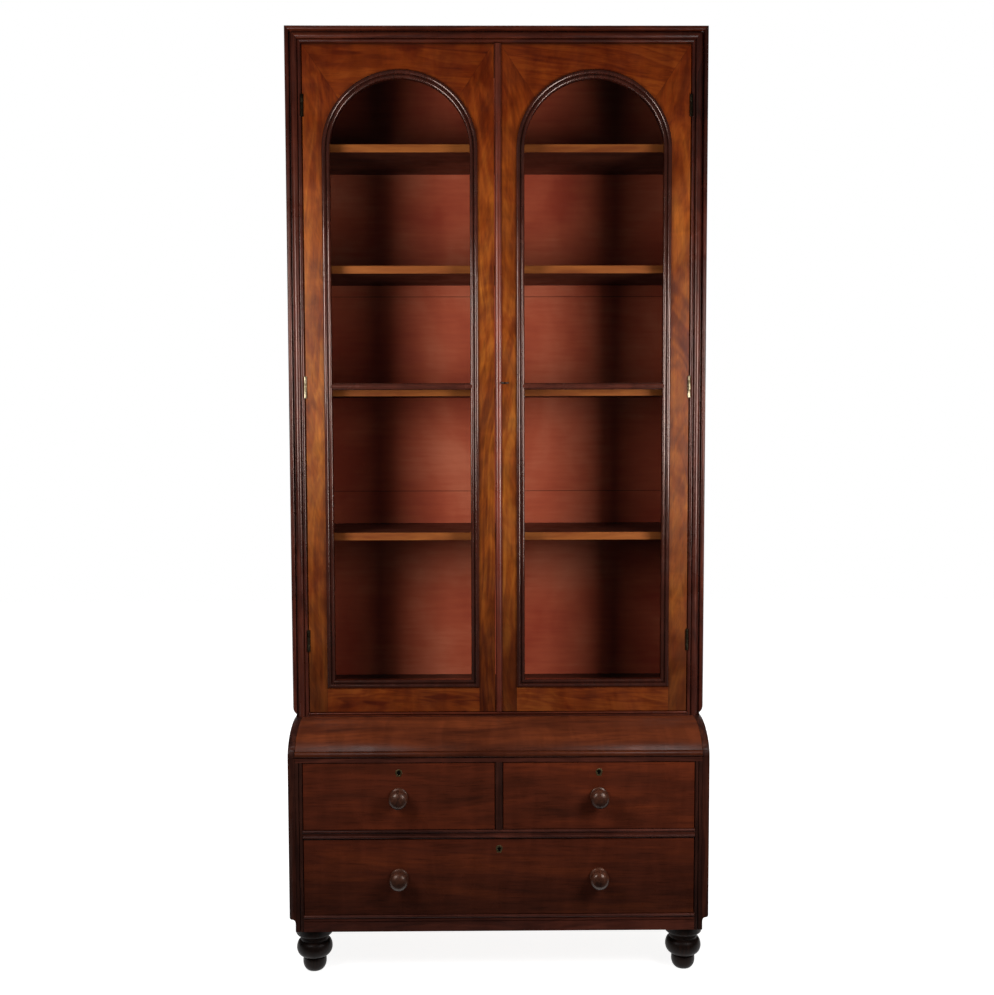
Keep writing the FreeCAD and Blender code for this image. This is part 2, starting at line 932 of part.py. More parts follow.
def hinge_leaf(edge_x, direction, middle, own, others):
    """Leaf of a butt hinge: a plate let in at edge_x with its own knuckles, clear of the other leaf's."""
    foot = Vector(hinge_axis_x, hinge_axis_y, middle - hinge_length / 2)
    leaf = slab(
        (edge_x, edge_x + direction * hinge_leaf_thickness),
        (hinge_axis_y, hinge_axis_y + hinge_leaf_width + hinge_proud),
        (foot.z, foot.z + hinge_length),
    )
    for low, high in own:
        start = foot.add(Z_AXIS * (low + hinge_end_gap / 2))
        leaf = joined(leaf, peg(start, Z_AXIS, hinge_knuckle_radius, high - low - hinge_end_gap))
    for low, high in others:
        start = foot.add(Z_AXIS * (low - hinge_end_gap / 2))
        room = peg(start, Z_AXIS, hinge_knuckle_radius + hinge_swing_clearance, high - low + hinge_end_gap)
        leaf = without(leaf, room)
    return leaf


def frame_leaves():
    """Leaves let into the surround. Each holds its pin fast in its two knuckles."""
    lower, middle, upper = knuckle_spans()
    leaves = []
    for level in hinge_levels():
        leaf = hinge_leaf(surround_inner, 1, level, (lower, upper), (middle,))
        pin_foot = Vector(hinge_axis_x, hinge_axis_y, level - hinge_length / 2 + lower[1] - hinge_end_gap)
        pin = rod(pin_foot, Z_AXIS, hinge_pin_radius, upper[0] - lower[1] + hinge_end_gap * 2)
        leaves.append(joined(leaf, pin))
    return leaves


def door_leaves():
    """Leaves let into the door's hanging stile, bored for the pins."""
    lower, middle, upper = knuckle_spans()
    leaves = []
    for level in hinge_levels():
        leaf = hinge_leaf(door_edge, -1, level, (middle,), (lower, upper))
        bore_foot = Vector(hinge_axis_x, hinge_axis_y, level - hinge_length / 2 - overrun)
        bore = peg(bore_foot, Z_AXIS, hinge_pin_radius + hinge_pin_clearance, hinge_length + overrun * 2)
        leaves.append(without(leaf, bore))
    return leaves


def hinge_mortises(edge_x, direction):
    """Cutters that let the leaves and knuckles into a stile."""
    cutters = []
    for level in hinge_levels():
        foot = level - hinge_length / 2
        cutters.append(slab(
            (edge_x, edge_x + direction * hinge_leaf_thickness),
            (hinge_axis_y - overrun, hinge_axis_y + hinge_leaf_width + hinge_proud),
            (foot, foot + hinge_length),
        ))
        room_foot = Vector(hinge_axis_x, hinge_axis_y, foot - hinge_end_gap)
        room_radius = hinge_knuckle_radius + hinge_swing_clearance
        cutters.append(peg(room_foot, Z_AXIS, room_radius, hinge_length + hinge_end_gap * 2))
    return cutters


def surround_stile():
    """Right stile of the moulded surround, mitred at the top and stopped at the foot."""
    outline = surround_profile(surround_outer, -1, case_front, -1, True)
    stile = prism_z(outline, chest_top, upper_top)
    mitre = prism_y(
        [
            (surround_outer + overrun, upper_top + overrun),
            (surround_inner - overrun, upper_top - surround_width - overrun),
            (surround_inner - overrun, upper_top + overrun),
        ],
        upper_front - overrun,
        case_front + overrun,
    )
    step = surround_overhang
    stop_top = chest_top + stop_height
    stop = prism_y(
        [
            (surround_outer + overrun, stop_top),
            (surround_outer, stop_top),
            (surround_outer - step * (1 - math.sqrt(1 / 2)), (stop_top + chest_top + stop_foot) / 2,
             half_upper, chest_top + stop_foot),
            (half_upper, chest_top - overrun),
            (surround_outer + overrun, chest_top - overrun),
        ],
        upper_front - overrun,
        case_front + overrun,
    )
    return without(stile, mitre, stop, *hinge_mortises(surround_inner, 1))


def surround_head():
    """Top rail of the moulded surround, mitred to the stiles, with the socket for the upper flush bolt."""
    outline = surround_profile(upper_top, -1, case_front, -1, False)
    head = prism_x(outline, -surround_outer, surround_outer)
    mitre = prism_y(
        [
            (surround_outer + overrun, upper_top + overrun),
            (surround_inner - overrun, upper_top - surround_width - overrun),
            (surround_outer + overrun, upper_top - surround_width - overrun),
        ],
        upper_front - overrun,
        case_front + overrun,
    )
    return without(head, mitre, mirrored(mitre), flush_socket(upper_top - surround_width, 1, flush_throw))


def flush_socket(level, direction, depth):
    """Round socket that a flush bolt shoots into, from a face at a level."""
    centre = Vector(-flush_bolt_shift, case_front - flush_rod_depth, level - direction * overrun)
    return peg(centre, Z_AXIS * direction, flush_rod_radius + flush_clearance, depth + overrun)


def sill():
    """Sill under the doors: a nosing over a set-back neck."""
    nose = upper_front + sill_nosing_set_back
    neck = upper_front + sill_neck_set_back
    top = chest_top + sill_height
    outline = [
        (neck, chest_top),
        (neck, top - sill_nosing),
        (nose + sill_nosing / 2, top - sill_nosing),
        (nose, top - sill_nosing / 2, nose + sill_nosing / 2, top),
        (case_front, top),
        (case_front, upper_floor_foot),
        (upper_front + sill_depth, upper_floor_foot),
        (upper_front + sill_depth, chest_top),
    ]
    body = prism_x(outline, -surround_inner, surround_inner)
    return without(body, flush_socket(chest_top + sill_height, -1, sill_height + overrun))


def upper_side():
    """Right side board of the upper case, with its rebates and the housing for the floor."""
    board = slab((upper_inner, half_upper), (case_front, chest_back), (chest_top, upper_board_top))
    top_rebate = slab(
        (upper_inner - overrun, upper_inner + upper_housing),
        (case_front - overrun, chest_back + overrun),
        (upper_board_foot, upper_board_top + overrun),
    )
    back_rebate = slab(
        (upper_inner - overrun, upper_inner + upper_housing),
        (back_face, chest_back + overrun),
        (chest_top - overrun, upper_board_top + overrun),
    )
    housing = slab(
        (upper_inner - overrun, upper_inner + floor_housing),
        (case_front - overrun, back_face),
        (upper_floor_foot, upper_floor_top),
    )
    return without(board, top_rebate, back_rebate, housing)


def upper_top_board():
    edge = upper_inner + upper_housing
    return slab((-edge, edge), (case_front, back_face), (upper_board_foot, upper_board_top))


def upper_floor():
    edge = upper_inner + floor_housing
    return slab((-edge, edge), (case_front, back_face), (upper_floor_foot, upper_floor_top))


def upper_back():
    """Three wide horizontal back boards, lapped over each other."""
    edge = upper_inner + upper_housing
    full = upper_board_top - chest_top
    levels = [chest_top] + [chest_top + full * share for share in back_joint_shares] + [upper_board_top]
    lap_y = (back_face + back_thickness / 2, chest_back)
    boards = []
    for index in range(len(levels) - 1):
        low, high = levels[index], levels[index + 1]
        board = slab((-edge, edge), (back_face, chest_back), (low, high))
        if index > 0:
            board = without(board, slab((-edge, edge), lap_y, (low, low + board_lap)))
        if index < len(levels) - 2:
            board = joined(board, slab((-edge, edge), lap_y, (high, high + board_lap)))
        boards.append(board)
    return boards


def shelf_tops():
    room = upper_board_foot - upper_floor_top
    return [upper_floor_top + room * share for share in shelf_place_shares]


def shelf(top):
    edge = upper_inner - shelf_clearance
    y_span = (case_front + shelf_set_back, back_face - shelf_clearance)
    return slab((-edge, edge), y_span, (top - shelf_thickness, top))


def bearers():
    """Battens on the case sides that the shelf ends lie on."""
    pieces = []
    front = case_front + shelf_set_back + bearer_set_back
    for top in shelf_tops():
        under = top - shelf_thickness
        bearer_x = (upper_inner - bearer_thickness, upper_inner)
        bearer = slab(bearer_x, (front, back_face), (under - bearer_height, under))
        pieces.extend([bearer, mirrored(bearer)])
    return pieces


# Doors, worked out for the right-hand side

def sight_outline(grow, foot, spring):
    """Arched outline in (x, z): the sight line pushed outwards by grow."""
    left = glass_centre - glass_half_width - grow
    right = glass_centre + glass_half_width + grow
    crown = spring + glass_half_width + grow
    return [(left, foot), (left, spring), (glass_centre, crown, right, spring), (right, foot)]


def door_stiles(meeting_edge):
    """Hanging stile and meeting stile with their mortises."""
    inner = glass_centre - glass_half_width - side_rebate
    outer = glass_centre + glass_half_width + side_rebate
    levels = (door_foot, door_head)
    hanging = slab((outer, door_edge), (door_face, case_front), levels)
    meeting = slab((meeting_edge, inner), (door_face, case_front), levels)
    tenons = [tenon_bar(foot, top) for foot, top in (head_tenon_span(), foot_tenon_span())]
    hanging = without(hanging, *tenons)
    meeting = without(meeting, *tenons)
    hanging = without(hanging, *hinge_mortises(door_edge, -1))
    return hanging, meeting


def head_tenon_span():
    top = door_head - tenon_shoulder
    return (top - head_tenon_height, top)


def foot_tenon_span():
    return (door_foot + tenon_shoulder, sight_low - glazing_rebate - tenon_shoulder)


def tenon_bar(foot, top):
    """Bar through a rail whose two ends are its tenons."""
    end = flush_bolt_shift + flush_rod_radius + flush_clearance + tenon_wall
    reach = glass_centre - end
    middle = (door_face + case_front) / 2
    y_span = (middle - tenon_thickness / 2, middle + tenon_thickness / 2)
    return slab((glass_centre - reach, glass_centre + reach), y_span, (foot, top))


def door_rails():
    """Arched head rail and plain foot rail, each with two tenons."""
    inner = glass_centre - glass_half_width - side_rebate
    outer = glass_centre + glass_half_width + side_rebate
    y_span = (door_face, case_front)
    head = slab((inner, outer), y_span, (spring_line, door_head))
    arch_foot = Vector(glass_centre, door_face - overrun, spring_line)
    arch = rod(arch_foot, Y_AXIS, glass_half_width + glazing_rebate, door_thickness + overrun * 2)
    head = without(joined(head, tenon_bar(*head_tenon_span())), arch)
    foot = slab((inner, outer), y_span, (door_foot, sight_low - glazing_rebate))
    foot = joined(foot, tenon_bar(*foot_tenon_span()))
    return head, foot


def ring_profile():
    """Glazing moulding outline: u runs outwards from the sight edge, h forwards from the door face."""
    quirk = inner_bead_width + ring_quirk_width
    outline = [
        (0, -ring_lip_depth),
        (0, inner_bead_foot),
        (inner_bead_width / 2, inner_bead_rise, inner_bead_width, outer_bead_foot),
        (quirk, outer_bead_foot),
        ((quirk + ring_width) / 2, outer_bead_rise, ring_width, outer_bead_foot),
        (ring_width, 0),
        (glazing_rebate, 0),
        (glazing_rebate, -ring_lip_depth),
    ]
    return stepped(outline, moulding_step_angle)


def ring_outline(place):
    """The moulding's outline carried to another plane by a rule for its points."""
    return [place(u, h) for u, h in ring_profile()]


def glazing_ring():
    """Raised moulding round the glass: an arch, two sides that meet it at the spring line, a mitred foot."""
    right = glass_centre + glass_half_width
    side = prism_z(
        ring_outline(lambda u, h: (right + u, door_face - h)),
        sight_low - ring_width,
        spring_line,
    )
    foot = prism_x(
        ring_outline(lambda u, h: (door_face - h, sight_low - u)),
        glass_centre - glass_half_width - ring_width,
        right + ring_width,
    )
    reach = ring_width + overrun
    mitre_span = (door_face - outer_bead_rise - overrun, pane_front + overrun)
    mitre = [(right - overrun, sight_low + overrun), (right + reach, sight_low - reach)]
    below = prism_y([*mitre, (right - overrun, sight_low - reach)], *mitre_span)
    above = prism_y([*mitre, (right + reach, sight_low + overrun)], *mitre_span)
    side = without(side, below)
    other = side.mirror(Vector(glass_centre, 0, 0), X_AXIS)
    foot = without(foot, above, above.mirror(Vector(glass_centre, 0, 0), X_AXIS))
    arch_face = flat_face(ring_outline(lambda u, h: (right + u, door_face - h)), on_plan)
    arch_face.translate(Z_AXIS * spring_line)
    arch = arch_face.revolve(on_front(glass_centre, spring_line), Y_AXIS, -180)
    points = bar_points()
    return arch, without(side, *points), without(other, *points), foot


def bar_outline(reach):
    """Pointed bar outline in (x, z): its ends are mitred into the mouldings at the sides."""
    half = bar_width / 2
    left = glass_centre - glass_half_width
    right = glass_centre + glass_half_width
    return [
        (left, bar_level - half),
        (left - reach, bar_level),
        (left, bar_level + half),
        (right, bar_level + half),
        (right + reach, bar_level),
        (right, bar_level - half),
    ]


def bar_points():
    """Cutter that takes the bar's pointed ends out of the side mouldings."""
    span = (door_face - outer_bead_rise - overrun, pane_front + overrun)
    return [prism_y(bar_outline(bar_reach), *span)]


def glazing_bar():
    """Bar between the panes: a rounded front and a rib behind that parts the panes."""
    half = bar_width / 2
    left = glass_centre - glass_half_width - bar_reach
    right = glass_centre + glass_half_width + bar_reach
    edge = door_face - bar_edge_rise
    rounded = prism_x(
        [
            (pane_front, bar_level - half),
            (edge, bar_level - half),
            (door_face - bar_rise, bar_level, edge, bar_level + half),
            (pane_front, bar_level + half),
        ],
        left,
        right,
    )
    pointed = prism_y(bar_outline(bar_reach), door_face - bar_rise - overrun, pane_front + overrun)
    front = rounded.common(pointed)
    rib_half = bar_rib_width / 2
    rib = slab(
        (glass_centre - glass_half_width, glass_centre + glass_half_width),
        (pane_front, pane_back + glazing_fillet_depth),
        (bar_level - rib_half, bar_level + rib_half),
    )
    return joined(front, rib)


def pane_outlines(grow):
    """Outlines of the arched upper pane and the plain lower one."""
    rib_half = bar_rib_width / 2
    left = glass_centre - glass_half_width - grow
    right = glass_centre + glass_half_width + grow
    inset = pane_bite - grow
    upper = sight_outline(grow, bar_level + rib_half + inset, spring_line)
    low = sight_low - grow
    high = bar_level - rib_half - inset
    lower = [(left, low), (left, high), (right, high), (right, low)]
    return upper, lower


def panes():
    return [prism_y(outline, pane_front, pane_back) for outline in pane_outlines(pane_bite)]


def pane_fillets():
    """Fillets behind the glass, one loop round each pane."""
    back = pane_back + glazing_fillet_depth
    loops = []
    for outer, inner in zip(pane_outlines(pane_bite), pane_outlines(0)):
        loop = prism_y(outer, pane_back, back)
        loops.append(without(loop, prism_y(inner, pane_back - overrun, back + overrun)))
    return loops


def meeting_bead():
    """Half-round bead up the right door's meeting edge."""
    left = meeting_right
    right = left + meeting_bead_width
    outline = [
        (left, door_face),
        ((left + right) / 2, door_face - meeting_bead_rise, right, door_face),
    ]
    return prism_z(outline, door_foot, door_head)


# Door lock, key and flush bolts

def lock_bolt():
    """Bolt of the door lock, drawn back into its case, with the notch that the key's bit drives it by."""
    middle = case_front - lock_case_thickness / 2
    left = meeting_right + bolt_end_set_in
    foot = key_level + bolt_above_key
    bar = slab(
        (left, left + bolt_length),
        (middle - bolt_thickness / 2, middle + bolt_thickness / 2),
        (foot, foot + bolt_height),
    )
    talon_left = key_shift + talon_reach
    talon = slab(
        (talon_left, talon_left + talon_width),
        (middle - bolt_thickness, middle + bolt_thickness),
        (foot - overrun, foot + talon_depth),
    )
    return without(bar, talon)


def bolt_room(x_low, x_high):
    """Room round the bolt between two planes."""
    middle = case_front - lock_case_thickness / 2
    half = bolt_thickness / 2 + bolt_clearance
    foot = key_level + bolt_above_key - bolt_clearance
    top = foot + bolt_height + bolt_clearance * 2
    return slab((x_low, x_high), (middle - half, middle + half), (foot, top))


def turned_keyhole(y_low, y_high):
    """Keyhole of the door lock, cut for a key whose bit points to the right."""
    eye = peg(Vector(key_shift, y_low, key_level), Y_AXIS, keyhole_radius, y_high - y_low)
    half = keyhole_slot_width / 2
    slot_x = (key_shift, key_shift + keyhole_slot_length)
    slot = slab(slot_x, (y_low, y_high), (key_level - half, key_level + half))
    return joined(eye, slot)


def lock_case_block():
    return slab(
        (meeting_right, meeting_right + lock_case_length),
        (case_front - lock_case_thickness, case_front),
        (key_level - lock_case_below, key_level + lock_case_above),
    )


def lock_case():
    """Case of the door lock, hollow round the bolt and the key's bit."""
    front = case_front - lock_case_thickness
    chamber_foot = Vector(key_shift, front + lock_plate, key_level)
    chamber = peg(chamber_foot, Y_AXIS, key_chamber_radius, lock_case_thickness - lock_plate * 2)
    bolt_end = meeting_right + bolt_length + bolt_clearance * 2
    return without(
        lock_case_block(),
        bolt_room(meeting_right - overrun, bolt_end),
        chamber,
        turned_keyhole(front - overrun, front + lock_plate + overrun),
    )


def door_key():
    """Key: bow, shank and bit. The bow lies level and the bit points to the right."""
    bit_middle = case_front - lock_case_thickness / 2
    tip = bit_middle + key_bit_depth / 2
    bow_y = door_face - key_stand
    bow_foot = Vector(key_shift, bow_y, key_level - key_bow_thickness / 2)
    bow = peg(bow_foot, Z_AXIS, key_bow_radius, key_bow_thickness)
    eye = peg(bow_foot, Z_AXIS, key_bow_hole_radius, key_bow_thickness)
    shank = rod(Vector(key_shift, bow_y, key_level), Y_AXIS, key_shank_radius, tip - bow_y)
    half = key_bit_thickness / 2
    bit = slab(
        (key_shift, key_shift + key_bit_length),
        (bit_middle - key_bit_depth / 2, tip),
        (key_level - half, key_level + half),
    )
    return without(joined(bow, shank, bit), eye)


def flush_rod(end, direction):
    """Flush bolt: a round rod with a thumb knob, drawn back from the door's end."""
    axis_y = case_front - flush_rod_depth
    start = Vector(-flush_bolt_shift, axis_y, end - direction * flush_rod_set_in)
    body = peg(start, Z_AXIS * -direction, flush_rod_radius, flush_rod_length)
    knob_z = end - direction * flush_knob_drop
    knob_foot = Vector(-flush_bolt_shift, axis_y, knob_z)
    knob = peg(knob_foot, Y_AXIS, flush_knob_radius, flush_rod_depth + flush_knob_reach)
    return joined(body, knob)


def flush_groove(end, direction):
    """Room for the rod in the door's meeting stile."""
    half = flush_rod_radius + flush_clearance
    deep = case_front - flush_rod_depth - half
    return slab(
        (-flush_bolt_shift - half, -flush_bolt_shift + half),
        (deep, case_front - flush_plate_thickness),
        (end + direction * overrun, end - direction * flush_plate_length),
    )


def flush_plate_block(end, direction):
    half = flush_plate_width / 2
    return slab(
        (-flush_bolt_shift - half, -flush_bolt_shift + half),
        (case_front - flush_plate_thickness, case_front),
        (end, end - direction * flush_plate_length),
    )


def flush_plate(end, direction):
    """Brass plate over the rod, slotted for the thumb knob."""
    half = flush_knob_radius + flush_clearance
    knob_z = end - direction * flush_knob_drop
    slot = slab(
        (-flush_bolt_shift - half, -flush_bolt_shift + half),
        (case_front - flush_plate_thickness - overrun, case_front + overrun),
        (knob_z - direction * half, knob_z + direction * (flush_throw + half)),
    )
    return without(flush_plate_block(end, direction), slot)


def right_door():
    """Nodes of the right door."""
    hanging, meeting = door_stiles(meeting_right)
    lock_space = [
        lock_case_block(),
        turned_keyhole(door_face - overrun, case_front - lock_case_thickness + overrun),
    ]
    meeting = without(meeting, *lock_space)
    head, foot = door_rails()
    return {
        "right_door_stiles": group([hanging, meeting]),
        "right_door_rails": group([head, foot]),
        "right_door_glazing_moulding": group([*glazing_ring(), *pane_fillets()]),
        "right_door_glazing_bar": group([glazing_bar()]),
        "right_door_panes": group(panes()),
        "right_door_hinge_leaves": group(door_leaves()),
        "meeting_bead": group([meeting_bead()]),
        "door_lock_case": group([lock_case()]),
        "door_lock_bolt": group([lock_bolt()]),
        "door_key": group([door_key()]),
    }


def left_door():
    """Nodes of the left door: the right one's pieces turned round, with flush bolts and the lock's strike."""
    hanging, meeting = door_stiles(-meeting_left)
    meeting = mirrored(meeting)
    ends = ((door_head, 1), (door_foot, -1))
    for end, direction in ends:
        meeting = without(meeting, flush_groove(end, direction), flush_plate_block(end, direction))
    strike = bolt_room(meeting_left - bolt_throw - meeting_gap, meeting_left + overrun)
    meeting = without(meeting, strike)
    head, foot = door_rails()
    plates = [flush_plate(end, direction) for end, direction in ends]
    mouldings = (*glazing_ring(), *pane_fillets())
    return {
        "left_door_stiles": group([mirrored(hanging), meeting]),
        "left_door_rails": group([mirrored(head), mirrored(foot)]),
        "left_door_glazing_moulding": group([mirrored(piece) for piece in mouldings]),
        "left_door_glazing_bar": group([mirrored(glazing_bar())]),
        "left_door_panes": group([mirrored(pane) for pane in panes()]),
        "left_door_hinge_leaves": group([mirrored(leaf) for leaf in door_leaves()]),
        "flush_bolt_plates": group(plates),
        "upper_flush_bolt": group([flush_rod(*ends[0])]),
        "lower_flush_bolt": group([flush_rod(*ends[1])]),
    }


def case_nodes():
    """Nodes that stand still: the upper case and the chest's carcase."""
    side = upper_side()
    stile = surround_stile()
    chest_board = chest_side()
    post = front_stile()
    plinth_end = plinth_end_board()
    plinth_boards = [plinth_rail(), plinth_end, mirrored(plinth_end)]
    leaves = frame_leaves()
    nodes = {
        "upper_side_left": mirrored(side),
        "upper_side_right": side,
        "upper_top_board": upper_top_board(),
        "upper_floor_board": upper_floor(),
        "upper_back_boards": group(upper_back()),
        "surround_left": mirrored(stile),
        "surround_right": stile,
        "surround_top": surround_head(),
        "sill_moulding": sill(),
        "shelf_bearers": group(bearers()),
        "frame_hinge_leaves": group(leaves + [mirrored(leaf) for leaf in leaves]),
        "chest_side_left": mirrored(chest_board),
        "chest_side_right": chest_board,
        "chest_top_board": chest_top_board(),
        "chest_back_board": chest_back_board(),
        "front_stiles": group([post, mirrored(post)]),
        "drawer_rails": group([frieze_rail(), middle_rail()]),
        "drawer_divider": divider(),
        "plinth_frame": group([*plinth_boards, plinth_back(), *corner_blocks()]),
        "drawer_runners": group([*drawer_runners(), *dust_boards()]),
    }
    for index, top in enumerate(shelf_tops(), start=1):
        nodes[f"shelf_{index}"] = shelf(top)
    for name, level_y in foot_rows().items():
        nodes[name] = group([turned_foot(x, level_y) for x in foot_columns()])
    return nodes


def drawer_nodes():
    """Nodes of the four drawers."""
    half_divider = divider_width / 2
    short_middle = (half_divider + opening_side) / 2
    openings = {
        "left_drawer": (-opening_side, -half_divider, short_foot, short_top, (-short_middle,)),
        "right_drawer": (half_divider, opening_side, short_foot, short_top, (short_middle,)),
        "long_drawer": (-opening_side, opening_side, plinth_top, long_top, (-short_middle, short_middle)),
    }
    nodes = {}
    for name, opening in openings.items():
        front, box, lock = drawer(*opening)
        nodes[f"{name}_front"] = front
        nodes[f"{name}_box"] = box
        nodes[f"{name}_lock"] = lock
    front, box = frieze_drawer()
    nodes["frieze_drawer_front"] = front
    nodes["frieze_drawer_box"] = box
    return nodes


def main():
    os.makedirs("parts", exist_ok=True)
    nodes = {}
    nodes.update(case_nodes())
    nodes.update(left_door())
    nodes.update(right_door())
    nodes.update(drawer_nodes())
    for name, shape in nodes.items():
        shape.exportStep(f"parts/{name}.step")
    print(f"{len(nodes)} nodes written")


main()
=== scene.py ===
"""Looks of the glazed display cabinet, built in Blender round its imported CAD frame.

Metres. The front faces -Y, +X is to the viewer's right and +Z is up. Pieces whose shape is right in the
frame keep it and get a finish here. Turned, moulded and bevelled pieces are made finer and replace theirs.
"""

from __future__ import annotations

import json
import logging
import math
from collections.abc import Callable, Iterable, Mapping, Sequence
from dataclasses import dataclass, field, replace
from enum import Enum
from functools import cached_property
from typing import Any

import bmesh
import bpy
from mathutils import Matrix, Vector

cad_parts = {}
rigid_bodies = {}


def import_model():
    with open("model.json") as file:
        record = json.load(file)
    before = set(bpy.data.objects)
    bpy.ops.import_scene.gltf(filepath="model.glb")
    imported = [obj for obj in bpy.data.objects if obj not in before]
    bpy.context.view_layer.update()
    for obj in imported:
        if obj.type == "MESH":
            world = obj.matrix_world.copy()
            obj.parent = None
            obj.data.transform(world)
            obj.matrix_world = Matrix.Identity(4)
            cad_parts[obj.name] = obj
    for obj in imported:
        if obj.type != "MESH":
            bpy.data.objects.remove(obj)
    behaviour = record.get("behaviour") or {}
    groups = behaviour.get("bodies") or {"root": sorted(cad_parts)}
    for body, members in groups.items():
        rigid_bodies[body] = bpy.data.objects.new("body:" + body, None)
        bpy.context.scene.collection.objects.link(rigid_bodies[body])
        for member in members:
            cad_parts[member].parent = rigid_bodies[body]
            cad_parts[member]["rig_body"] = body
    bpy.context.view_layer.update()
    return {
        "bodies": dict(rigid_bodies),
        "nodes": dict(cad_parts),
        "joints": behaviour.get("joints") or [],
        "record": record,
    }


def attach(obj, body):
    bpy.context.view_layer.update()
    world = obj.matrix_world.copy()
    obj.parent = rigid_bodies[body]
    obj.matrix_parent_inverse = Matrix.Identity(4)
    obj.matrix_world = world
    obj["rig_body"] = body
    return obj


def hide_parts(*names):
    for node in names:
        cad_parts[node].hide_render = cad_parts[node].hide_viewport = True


LOG = logging.getLogger("display_cabinet")

Colour = tuple[float, float, float]
Point = tuple[float, float, float]
Pair = tuple[float, float]
# Radius, place along the axis and rounding of a corner of a turned outline.
Corner = tuple[float, float, float]

BLACK: Colour = (0.0, 0.0, 0.0)
WHITE: Colour = (1.0, 1.0, 1.0)

# Places of the frame that several pieces and finishes share.
DOOR_FOOT, DOOR_HEAD = 0.646, 2.341
DOOR_FACE = -0.086
DOOR_MIDDLE = 0.245
SIGHT_FOOT = 0.7295
DRAWER_FACE = -0.222
KNOB_X = 0.2495
LONG_KNOB_LEVEL, SHORT_KNOB_LEVEL = 0.2595, 0.465
CUSHION_FOOT, CUSHION_TOP = 0.5628, 0.634

MERGE_DISTANCE = 1e-5
SHARP_ANGLE = math.radians(32)
FLAT_ANGLE = math.radians(0.5)

# Sockets of the Mix node when it mixes colours.
MIX_SHARE, MIX_FIRST, MIX_SECOND, MIX_RESULT = 0, 6, 7, 2
# Span that most values of a soft pattern lie in.
PATTERN_SPAN = (0.3, 0.7)
# Height of the polish's ripple and depth of the pores, in metres.
RIPPLE_HEIGHT, PORE_DEPTH = 0.0012, 0.00012
# How steeply the gloss of glass rises when it is seen aslant.
SLANT_POWER = 5.0
# Glow of the dim surround and of the room's walls.
DIM_GLOW = 0.055


def from_screen(red: float, green: float, blue: float) -> Colour:
    """Linear colour of a screen colour.

    Args:
        red: Screen red, 0 to 255.
        green: Screen green, 0 to 255.
        blue: Screen blue, 0 to 255.

    Returns:
        The three linear channels.
    """

    def linear(level: float) -> float:
        """Linear value of one channel."""
        share = level / 255
        return share / 12.92 if share <= 0.04045 else ((share + 0.055) / 1.055) ** 2.4

    return linear(red), linear(green), linear(blue)


class Grain(Enum):
    """The way the grain of a board runs, as the places of its stretched axis."""

    ACROSS = 0
    DEEP = 1
    UPRIGHT = 2


def grain_scale(grain: Grain, across: float, along: float) -> Point:
    """Scale of coordinates that differs along the grain."""
    return tuple(along if axis is grain else across for axis in Grain)


@dataclass(frozen=True)
class Soft:
    """A soft random pattern: how fine it is, its finer layers, their strength and its twist."""

    scale: float
    detail: float = 3.0
    rough: float = 0.5
    twist: float = 0.0


RIBBON = Soft(1.0, 2.0, 0.5, 0.8)
PORES = Soft(520.0, 2.0, 0.6)
WEAR = Soft(11.0, 3.0, 0.6)
POLISH_RIPPLE = Soft(26.0, 2.0)
BROAD_FLAME = Soft(24.0, 3.0, 0.6, 0.5)
NARROW_FLAME = Soft(95.0, 3.0, 0.65, 0.4)
VENEER_CLOUDS = Soft(9.0, 4.0, 0.6, 0.9)
EDGE_STREAKS = Soft(30.0, 4.0, 0.6, 0.6)
PAINT_CLOUDS = Soft(3.2, 4.0, 0.55, 0.4)
BRUSH_MARKS = Soft(70.0, 3.0, 0.6)
BARE_FIGURE = Soft(26.0, 5.0, 0.6, 1.2)
METAL_SPOTS = Soft(140.0, 5.0, 0.65, 0.5)
METAL_PITS = Soft(420.0, 3.0)
GLASS_WAVES = Soft(9.0, 2.0)


